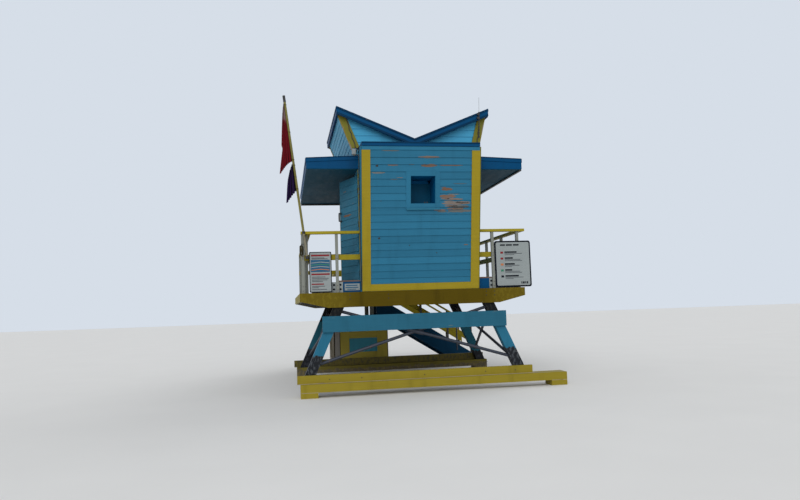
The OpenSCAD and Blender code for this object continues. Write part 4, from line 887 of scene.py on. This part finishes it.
s.done("kick_panels", [SIGN_BLUE, DEEP, WHITE, CAPWOOD, SIGN_INK], "deep_blue_paint", 0.002, ["kick_boards"])

# Two sign boards, with plain panels, bars and waves in place of their words and pictures
SIGN = at(0, OUT_Y, TOP), X, Z, -Y


def bar(x0, x1, z0, z1, mat, low=0.017, high=0.0195):
    """A flat bar on a sign board."""
    s.plate(rect(x0, x1, z0, z1), SIGN, low, high, mat)


s.plate(rounded(1.352, 1.97, 0.01, 0.772, 0.035), SIGN, 0.0, 0.014, 1)
s.plate(rounded(1.377, 1.945, 0.035, 0.747, 0.024), SIGN, 0.013, 0.018, 0)
for x0, x1 in ((1.45, 1.535), (1.55, 1.655), (1.672, 1.77)):
    bar(x0, x1, 0.69, 0.714, 1)
# Each row of bars: its block's colour, and the lengths of three bars
BARS = (
    (2, 0.21, 0.3, 0.17), (2, 0.14, 0.27, 0.3), (5, 0.17, 0.25, 0.12), (6, 0.12, 0.26, 0.29),
    (1, 0.23, 0.31, 0.14),
)
for i, (mat, head, middle, foot) in enumerate(BARS):
    z = 0.56 - 0.098 * i
    bar(1.45, 1.496, z, z + 0.034, mat)
    bar(1.52, 1.52 + head, z + 0.012, z + 0.036, 1)
    bar(1.52, 1.52 + middle, z - 0.006, z + 0.005, 3, 0.017, 0.019)
    bar(1.52, 1.52 + foot, z - 0.025, z - 0.015, 3, 0.017, 0.019)
for x0, x1 in ((1.79, 1.806), (1.816, 1.846), (1.856, 1.872), (1.882, 1.906)):
    bar(x0, x1, 0.06, 0.096, 1)
s.plate(rounded(-1.674, -1.325, 0.01, 0.647, 0.02), SIGN, 0.0, 0.012, 1)
s.plate(rounded(-1.661, -1.338, 0.023, 0.634, 0.014), SIGN, 0.011, 0.016, 0)
bar(-1.648, -1.352, 0.33, 0.52, 4, 0.015, 0.018)
for end, z0, z1 in ((-1.357, 0.576, 0.602), (-1.357, 0.282, 0.306), (-1.45, 0.13, 0.148)):
    bar(-1.643, end, z0, z1, 2, 0.015, 0.018)
for z, length in (
    (0.53, 0.25), (0.545, 0.2), (0.245, 0.21), (0.222, 0.26), (0.199, 0.24), (0.176, 0.17), (0.1, 0.2),
    (0.08, 0.1), (0.05, 0.23),
):
    bar(-1.635, -1.635 + length, z, z + 0.011, 3, 0.015, 0.0175)
for z, mat in ((0.352, 5), (0.395, 0), (0.43, 6), (0.465, 0)):
    crest = [(-1.64, z), (-1.5, z + 0.014), (-1.36, z)]
    s.plate(crest + [(x, up + 0.013) for x, up in reversed(crest)], SIGN, 0.017, 0.0188, mat)
SIGN_MATS = [WHITE, SIGN_INK, SIGN_RED, SIGN_GREY, SIGN_BLUE, SIGN_ORANGE, SIGN_GREEN]
s.done("signs", SIGN_MATS, "white_paint", 0.001, ["sign_boards"])

# The landing: boards on a frame of beams, on four posts
x0, x1, y0, y1 = span("landing")[:4]
for y, end in boards(y0, y1, BOARD_W):
    s.box((x0, y + 0.002, TOP - BOARD_T), (x1, end - 0.003, TOP), 0, shade())
BEAM_W, LEG_W = 0.05, 0.09
beam_low, beam_high = TOP - 0.222, TOP - BOARD_T
for left, right, near, far in (
    (x0, x1, y0, y0 + BEAM_W), (x0, x1, y1 - BEAM_W, y1),
    (x0, x0 + BEAM_W, y0 + BEAM_W, y1 - BEAM_W), (x1 - BEAM_W, x1, y0 + BEAM_W, y1 - BEAM_W),
):
    s.box((left, near, beam_low), (right, far, beam_high), 1, shade())
for x in (x0 + BEAM_W, x1 - BEAM_W - LEG_W):
    for y in (y0 + BEAM_W, y1 - BEAM_W - LEG_W):
        s.box((x, y, span("locker")[5]), (x + LEG_W, y + LEG_W, beam_high), 2, shade())
s.done("landing_boards", [DECK, YELLOW, POST], "bare_timber", 0.003, ["landing"])

# The ramp's boards, cut level where they meet the ground
RAMP_T = 0.058
ramp_y0, ramp_y1 = DECK_D + 0.045, DECK_D + RAMP_W - 0.045
for x, end in boards(0.0, RAMP_RUN, 0.125):
    a, b = x + 0.0015, end - 0.0015
    board = clip(band(a, over_ramp(a), b, over_ramp(b), RAMP_T), 1, 0.0, -1)
    s.plate(board, (at(0, ramp_y0, 0), X, Z, Y), 0, ramp_y1 - ramp_y0, 0, shade())
s.done("ramp_planks", [DECK_Y], "bare_timber", 0.002, ["ramp"])

# The ramp's rails: a middle board and a thin flat rail on each side, on slim posts
RAMP_MID, RAMP_CAP = (0.232, 0.362), (0.63, 0.672)
RAIL_FROM, RAIL_TO = span("ramp_railings")[:2]


def along_ramp(lo, hi, x0, x1, near, far, mat=0):
    """A board that runs down with the ramp, from lo to hi above it."""
    y0, y1 = sorted((near, far))
    low = [(x0, over_ramp(x0) + lo), (x1, over_ramp(x1) + lo)]
    high = [(x1, over_ramp(x1) + hi), (x0, over_ramp(x0) + hi)]
    s.plate(low + high, (at(0, y0, 0), X, Z, Y), 0, y1 - y0, mat, shade())


for y, way, stations in (
    (ramp_y0, 1, (0.14, 1.015, 1.635, 2.19)),
    (ramp_y1, -1, (0.14, 1.235, 1.885, 2.19)),
):
    along_ramp(*RAMP_MID, RAIL_FROM, RAIL_TO, y, y + way * RAIL_D)
    along_ramp(*RAMP_CAP, RAIL_FROM, RAIL_TO, y - way * 0.022, y + way * 0.067)
    for x in stations:
        along_ramp(-0.15, RAMP_CAP[0], x, x + POST_W, y - way * 0.003, y - way * 0.04, 1)
s.done("ramp_rails_and_posts", [YELLOW, DARKWOOD_AND_SHADE], "yellow_paint", 0.003, ["ramp_railings"])

# The locker: framed sides with a sunk panel each, a pale ledge and a grey corner board. Its left side is in a
# dark olive, the yellow with painted shade
x0, x1, y0, y1, _, locker_top = span("locker")
SKIN, PANEL_IN, PANEL_Z0, PANEL_Z1 = 0.021, 0.338, 0.38, 0.682
SHELF_Z0, SHELF_Z1, FRAME_Z, GREY_W = 0.168, 0.188, 0.227, 0.125
s.box((x0 + SKIN, y0 + SKIN, 0.0), (x1 - SKIN, y1 - SKIN, locker_top - SKIN), 1)
s.box((x0, y0, locker_top - 0.02), (x1, y1, locker_top), 3)


def framed(origin, u, n, width, p0, p1, frame_mat=0, panel_mat=4):
    """Frame boards round a sunk panel, from p0 to p1 along one side of the locker."""
    face = origin, u, Z, n
    top = locker_top - SKIN
    s.plate(rect(0.0, GREY_W, 0.0, top), face, -SKIN, 0.0, 2)
    for outline in (
        rect(GREY_W + 0.014, p0, FRAME_Z, top), rect(p1, width, FRAME_Z, top),
        rect(p0 + 0.001, p1 - 0.001, FRAME_Z, PANEL_Z0), rect(p0 + 0.001, p1 - 0.001, PANEL_Z1, top),
    ):
        s.plate(outline, face, -SKIN, 0.0, frame_mat, shade())
    s.plate(rect(p0 - 0.002, p1 + 0.002, PANEL_Z0 - 0.002, PANEL_Z1 + 0.002), face, -SKIN, -0.012, panel_mat)
    # The base under the ledge is in dark timber, a painted shadow beneath the locker
    s.plate(rect(GREY_W + 0.002, width, 0.0, SHELF_Z0), face, -SKIN, -0.004, 1)
    s.plate(rect(0.04, width - 0.04, SHELF_Z0, SHELF_Z1), face, -SKIN, 0.01, 5)


panel_end = PANEL_IN + 0.62
framed(at(x0, y0, 0), X, -Y, x1 - x0, PANEL_IN, panel_end)
framed(at(x1, y1, 0), -X, Y, x1 - x0, x1 - x0 - panel_end, x1 - x0 - PANEL_IN)
# The left side's frame and panel are in the olive painted shade
framed(at(x0, y1, 0), -Y, -X, y1 - y0, PANEL_IN, y1 - y0 - PANEL_IN, 6, 6)
framed(at(x1, y0, 0), Y, X, y1 - y0, PANEL_IN, y1 - y0 - PANEL_IN)
s.done("locker_boards", [LOCKER, DARKWOOD_AND_SHADE, GREY, DECK, PANEL, PALE, LOCKER_SIDE_SHADE], "yellow_paint", 0.002, ["locker"])

# Nail heads on the edge beam and sill plank, and pale strips where the plank and foot blocks meet the skid, a
# painted highlight of the lit ledges
for x in (-1.05, -0.44, 1.17, 1.31):
    for z in (TOP - 0.05, TOP - 0.11):
        s.bolt(at(x, 0, z), -Y, 0.006, 0.004)
for x in (-1.4, -0.9, 0.1, 1.1, 1.6):
    s.bolt(at(x, 0, 0.27), -Y, 0.006, 0.005)
s.done("nail_heads", [BLACK], "pipe", 0)
FOOT_LONG, FOOT_HIGH = 0.265, 0.085
x0, x1, y0, _, z0, plank_top = span("sill_planks")
# Pale strips: painted highlight along the ledge tops
s.box((x0 + 0.01, y0 - 0.004, z0 - 0.004), (x1 - 0.01, y0 + 0.002, z0 + 0.006))
x0, x1, y0 = span("back_skid")[:3]
for left, right in ((x0 + 0.004, x0 + FOOT_LONG - 0.004), (x1 - FOOT_LONG + 0.004, x1 - 0.004)):
    s.box((left, y0 - 0.002, FOOT_HIGH - 0.003), (right, y0 + 0.002, FOOT_HIGH + 0.003))
s.done("lit_ledge_strips", [PALE], "bare_timber", 0.001)

# A thin pipe from the deck down to the seaward skid
PIPE_X, PIPE_Y = 1.7, 4.08
s.tube([at(PIPE_X, PIPE_Y, z) for z in (TOP - 0.23, 1.0, plank_top - 0.001)], 0.016, 12)
for z in (TOP - 0.26, 0.6):
    s.tube([at(PIPE_X, PIPE_Y, z), at(PIPE_X, PIPE_Y, z + 0.03)], 0.02, 12)
s.done("drain_pipe", [PIPE], "pipe", 0)


def smooth_line(points, steps=8):
    """A smooth curve through the points."""
    points = [Vector(p) for p in points]
    ends = [points[0] * 2 - points[1]] + points + [points[-1] * 2 - points[-2]]
    out = []
    for a, b, c, d in zip(ends, ends[1:], ends[2:], ends[3:]):
        for k in range(steps):
            t = k / steps
            bend = (2 * a - 5 * b + 4 * c - d) * t * t + (3 * b - a - 3 * c + d) * t ** 3
            out.append(0.5 * (2 * b + (c - a) * t + bend))
    return out + [points[-1]]


# Cables clipped to the gable's corners and down the cheek, and the pale box that two of them meet in
CABLE_R = 0.007
cap_z = CAP_Z1 + CABLE_R
left_gable = [
    (-1.082, -0.08, over_roof(-1.082) - 0.045), (-1.056, -0.05, 4.43), (-1.024, 0.008, 4.35),
    (-0.998, 0.01, 4.27), (-0.99, 0.008, 4.205), (-0.958, 0.01, 4.14), (-0.95, 0.008, 4.075),
    (-0.916, 0.01, 4.0), (-0.905, 0.006, 3.94), (-0.892, 0.004, 3.89),
]
# Down the cheek: height, x, and how far behind the leaning face
cheek_line = [
    (3.74, -0.881, 0.14), (3.55, -0.878, 0.105), (3.36, -0.881, 0.1), (3.15, -0.877, 0.07),
    (2.96, -0.88, 0.052), (2.76, -0.877, 0.03), (2.57, -0.879, 0.014), (2.37, -0.876, 0.004),
    (2.17, -0.874, -0.006), (1.98, -0.868, -0.009), (1.784, -0.866, -0.008), (1.64, -0.859, -0.008),
]
cheek_run = [(-0.902, 0.0, 3.806), (-0.888, -0.03, 3.792), (-0.886, -0.06, 3.77)]
cheek_run += [(x, lean_y(z) + behind, z) for z, x, behind in cheek_line]
over_cap = [
    (-0.9, -0.006, 3.85), (-0.872, -0.03, 3.88), (-0.852, -0.05, 3.912), (-0.832, -0.06, cap_z),
    (-0.76, -0.06, cap_z), (-0.74, 0.01, cap_z),
]
right_gable = [
    (1.142, -0.104, 4.345), (1.15, -0.06, 4.29), (1.16, 0.008, 4.235), (1.146, 0.01, 4.18),
    (1.152, 0.008, 4.13), (1.132, 0.01, 4.08), (1.128, 0.008, 4.03), (1.11, 0.01, 3.96),
]
s.box((-0.958, -0.018, 3.8), (-0.896, 0.036, 3.892), 1)
s.box((-0.951, -0.024, 3.807), (-0.903, -0.016, 3.885), 1)
for route in (left_gable, cheek_run, over_cap, right_gable):
    s.tube(smooth_line([at(*p) for p in route]), CABLE_R, 8)
s.done("cables", [BLACK, WHITE], "dark_metal", 0.001)

# The antenna: a slender whip on a dark cable with tape knots, clamped to the rake
WHIP_X, WHIP_Y = 1.125, span("antenna")[2] + 0.012
foot, tip = at(WHIP_X, WHIP_Y, 4.06), at(WHIP_X + 0.026, WHIP_Y, 4.744)
# Each stretch: from and to as shares of the whole, radius, sides, material
for start, end, radius, sides, mat in (
    (0.0, 0.3, 0.0075, 10, 1), (0.02, 0.045, 0.0125, 10, 1), (0.12, 0.145, 0.0125, 10, 1),
    (0.19, 0.215, 0.0125, 10, 1), (0.27, 0.295, 0.0125, 10, 1), (0.6, 1.0, 0.0035, 8, 0),
    (0.3, 0.62, 0.0085, 12, 1), (0.6, 0.64, 0.011, 12, 1),
):
    s.tube([foot.lerp(tip, start), foot.lerp(tip, end)], radius, sides, mat)
clamp_z = over_roof(WHIP_X) - 0.02
for left, near, low, high in ((0.02, 0.006, 0.085, 0.055), (0.018, 0.01, 0.025, 0.0)):
    s.box((WHIP_X - left, WHIP_Y - near, clamp_z - low), (WHIP_X + 0.025, RAKE_Y0 + 0.002, clamp_z - high), 1)
s.done("whip_antenna", [ALLOY, BLACK], "dark_metal", 0, ["antenna"])

# The flagpole's dark cap, its brackets with bolts, and a hank of line near its foot
POLE_LEAN, POLE_Y = 0.122, 0.0137


def pole(z):
    """The flagpole's middle at height z."""
    return at(-1.754 - POLE_LEAN * (z - 2.577), POLE_Y, z)


pole_top = span("flagpole")[5]
s.tube([pole(pole_top - 0.11), pole(pole_top - 0.004)], 0.0215, 14)
for z in (2.556, 2.165):
    s.tube([pole(z - 0.02), pole(z + 0.02)], 0.0225, 14)
    s.bolt(pole(z) - Y * 0.022, -Y, 0.008, 0.006)
s.done("pole_fittings", [BLACK], "dark_metal", 0)
HANK_X, HANK_Z, HANK_R, HANK_RUN, HANK_STEP = -1.792, 2.275, 0.026, 0.11, 0.0085
TURNS, TURN_STEPS = 6, 16
hank = []
for k in range(TURNS * TURN_STEPS):
    a = 2 * math.pi * k / TURN_STEPS
    up = math.copysign(HANK_RUN / 2, math.cos(a)) if abs(math.cos(a)) > 1e-6 else 0.0
    part = k / TURN_STEPS / TURNS * 2 - 1
    r = HANK_R * (1 - 0.72 * abs(part))
    y = POLE_Y + HANK_STEP * TURNS / 2 * part
    hank.append(at(HANK_X + r * math.sin(a), y, HANK_Z + up + r * math.cos(a)))
s.tube(smooth_line(hank, 2), 0.004, 6)
s.tube([at(HANK_X, POLE_Y, HANK_Z - 0.018), at(HANK_X, POLE_Y, HANK_Z + 0.018)], 0.03, 12)
hook_y = POLE_Y - 0.03
s.tube([pole(2.375), at(HANK_X, hook_y, 2.372), at(HANK_X - 0.004, hook_y, 2.34)], 0.005, 8, 1)
s.done("line_hank", [ROPE, BLACK], "pole", 0)


def flag(name, mat, top, low, edge, fly, folds, bend, seed, node):
    """A limp flag in upright folds, between its hoist on the pole and the line of its free edge.
    The folds are as deep as they must be for each row to keep the cloth's own width, fly."""
    draws = random.Random(seed)
    lengths = [math.dist(a, b) for a, b in zip(edge, edge[1:])]
    total = sum(lengths)

    def edge_at(t):
        """The free edge at share t of its length."""
        rest = t * total
        for a, b, length in zip(edge, edge[1:], lengths):
            if rest <= length or b is edge[-1]:
                return [p + (q - p) * min(rest / length, 1.0) for p, q in zip(a, b)]
            rest -= length

    rows, columns = 44, folds * 24
    turn = [draws.uniform(-1, 1) for _ in range(6)]
    depths = [draws.uniform(0.55, 1.0) for _ in range(folds + 1)]

    def row(t, depth):
        """One row of points across the cloth, at share t of its height, with folds of this depth."""
        z0 = top + (low - top) * t
        start = pole(z0) - X * 0.018
        ex, ez = edge_at(t)
        end = at(ex, POLE_Y, ez)
        out = []
        for j in range(columns + 1):
            q = j / columns
            warp = q + 0.012 * math.sin(5 * q + 2.2 * t + turn[0]) * math.sin(math.pi * q)
            fold = 2 * math.pi * folds * warp + 0.5 * t * turn[1]
            ease = min(1.0, q * 9) * (1 - 0.25 * q * t)
            y = depth * ease * depths[int(q * folds)] * math.sin(fold)
            sway = 0.2 * depth * ease * math.sin(2 * fold + turn[2]) * min(1.0, t * 2)
            x = start.x + (end.x - start.x) * q + sway
            z = start.z + (end.z - start.z) * q ** bend + 0.22 * y * t
            out.append(Vector((x, start.y + y, z)))
        return out

    v = []
    for i in range(rows + 1):
        shallow, deep = 0.0, 0.06
        for _ in range(22):
            middle = (shallow + deep) / 2
            line = row(i / rows, middle)
            width = sum(math.hypot(b.x - a.x, b.y - a.y) for a, b in zip(line, line[1:]))
            shallow, deep = (middle, deep) if width < fly else (shallow, middle)
        v += row(i / rows, shallow)
    f = []
    for i in range(rows):
        first = i * (columns + 1)
        f += [(a, a + 1, a + columns + 2, a + columns + 1) for a in range(first, first + columns)]
    mesh = bpy.data.meshes.new(name)
    mesh.from_pydata([tuple(p) for p in v], [], f)
    mesh.materials.append(mat)
    mesh.polygons.foreach_set("use_smooth", [True] * len(f))
    ob = placed(name, mesh)
    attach(ob, "tower")
    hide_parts(node)
    ties = Shape()
    for z in (top - 0.03, (top + low) / 2, low + 0.03):
        ties.tube(circle(pole(z), X, Y, 0.0225, 16), 0.0028, 6, 0, True)
    ties = ties.done(name + "_ties", [ROPE], "pole", 0)


red_edge = [(-2.046, 4.44), (-2.054, 4.19), (-2.06, 3.925), (-2.045, 3.885), (-2.098, 3.48)]
purple_edge = [(-1.95, 3.53), (-1.975, 3.391), (-2.002, 3.02)]
flag("red_flag_cloth", RED, 4.625, 3.685, red_edge, 0.9, 5, 1.6, 7, "red_flag")
flag("purple_flag_cloth", PURPLE, 3.655, 3.218, purple_edge, 0.6, 3, 1.2, 9, "purple_flag")

# Carried-over CAD pieces get their materials
DRESS = (
    (SKID, "back_skid"), (SKID_FAR_SHADE_AND_DIRT, "front_skid"), (PLANK, "sill_planks"), (LEG_FAR_SHADED, "front_left_leg"),
    (LEG, "back_left_leg back_right_leg"), (LEG_FAR_RIGHT_SHADED, "front_right_leg"), (BEAM, "crossbeam"),
    (PIPE, "back_brace left_brace right_brace"), (EDGE, "back_edge_beam front_edge_beam"),
    (YELLOW_Y, "side_edge_beams side_railings"), (BEARER, "deck_bearers"), (JOIST, "deck_joists"),
    (WALL, "back_wall window_frame front_wall"),
    (WALL_Y, "back_wall_cheeks left_wall_pier left_wall_header side_door left_wall right_wall"),
    (SILL, "back_wall_trim"), (HATCH, "window_hatch"), (SIGN_INK, "door_hardware"), (BLACK, "door_hinges"),
    (FLARE, "left_flare_wall right_flare_wall"), (GABLE, "back_gable front_gable"), (YELLOW_Z, "gable_trim"),
    (ROOF, "left_roof_panel right_roof_panel"), (DEEP_Y, "eave_boards"), (SOFFIT, "canopy_soffits"),
    (DEEP, "back_wall_cap rake_boards left_canopy right_canopy front_roof kick_boards"),
    (YELLOW, "back_railings front_railing landing_railings ramp_railings locker"), (POLE, "flagpole"),
    (ALLOY, "antenna"), (DECK, "landing deck_boards"), (DECK_Y, "ramp"), (NAVY, "ramp_side_boards"),
    (WHITE, "sign_boards"), (RED, "red_flag"), (PURPLE, "purple_flag"),
)
for mat, names in DRESS:
    for name in names.split():
        materials = frame["nodes"][name].data.materials
        materials.clear()
        materials.append(mat)

# The studio: a pale floor, a pale surround, soft light, and the camera where the photographer stood
scene = bpy.context.scene
scene.view_settings.view_transform = "Standard"
FLOOR_HALF = 60
floor = bpy.data.meshes.new("floor")
corners = [(x, y, 0) for x, y in rect(-FLOOR_HALF, FLOOR_HALF, -FLOOR_HALF, FLOOR_HALF)]
floor.from_pydata(corners, [], [(0, 1, 2, 3)])
n = Nodes("floor_pale")
sand = n.scaled((0.74, 0.735, 0.72), n.math("MULTIPLY_ADD", n.noise(0.8), 0.06, 0.97))
floor.materials.append(n.done(sand, 0.9, n.noise(30), 0.05))
placed("floor", floor)

# The surround lights the scene softly, and the camera and glossy rays see it in a plain sky grey
scene.world = bpy.data.worlds.new("studio")
t = Tree(scene.world)
rays = t.add("ShaderNodeLightPath").outputs
seen = (0, rays["Is Camera Ray"]), (1, rays["Is Glossy Ray"])
mixed = [(0, t.add("ShaderNodeMath", seen, operation="MAXIMUM").outputs[0])]
for slot, colour, strength in ((1, (0.93, 0.96, 1.0), 0.62), (2, linear((214, 222, 232)), 1.0)):
    mixed.append((slot, t.add("ShaderNodeBackground", ((0, colour + (1.0,)), (1, strength))).outputs[0]))
t.add("ShaderNodeOutputWorld", [(0, t.add("ShaderNodeMixShader", mixed).outputs[0])])

# Suns: name, way, strength and angle
for name, way, strength, angle in (
    ("key", (0.4, 0.8, -0.6), 0.9, 30),
    ("front", (0.1, 1.0, -0.1), 0.9, 50),
    ("fill", (-0.6, -0.5, -0.6), 0.5, 40),
):
    lamp = bpy.data.lights.new(name, "SUN")
    lamp.energy = strength
    lamp.angle = math.radians(angle)
    ob = placed(name, lamp)
    ob.rotation_euler = Vector(way).to_track_quat("-Z", "Y").to_euler()

# The camera: turned to the right, up, and rolled, with its focal length in pixels of an 800-pixel picture
CAM_YAW, CAM_PITCH, CAM_ROLL, CAM_F = 0.173, 0.083, 0.033, 666.825
CAM_PLACE = at(-2.06, -10.466, 1.37)
SENSOR, PICTURE_W = 36.0, 800.0
camera = bpy.data.cameras.new("camera")
camera.sensor_fit = "HORIZONTAL"
camera.sensor_width = SENSOR
camera.lens = CAM_F * SENSOR / PICTURE_W
camera = placed("camera", camera)
place = Matrix.Translation(CAM_PLACE)
for turn, axis in ((-CAM_YAW, "Z"), (math.pi / 2 + CAM_PITCH, "X"), (-CAM_ROLL, "Z")):
    place = place @ Matrix.Rotation(turn, 4, axis)
camera.matrix_world = place
scene.camera = camera
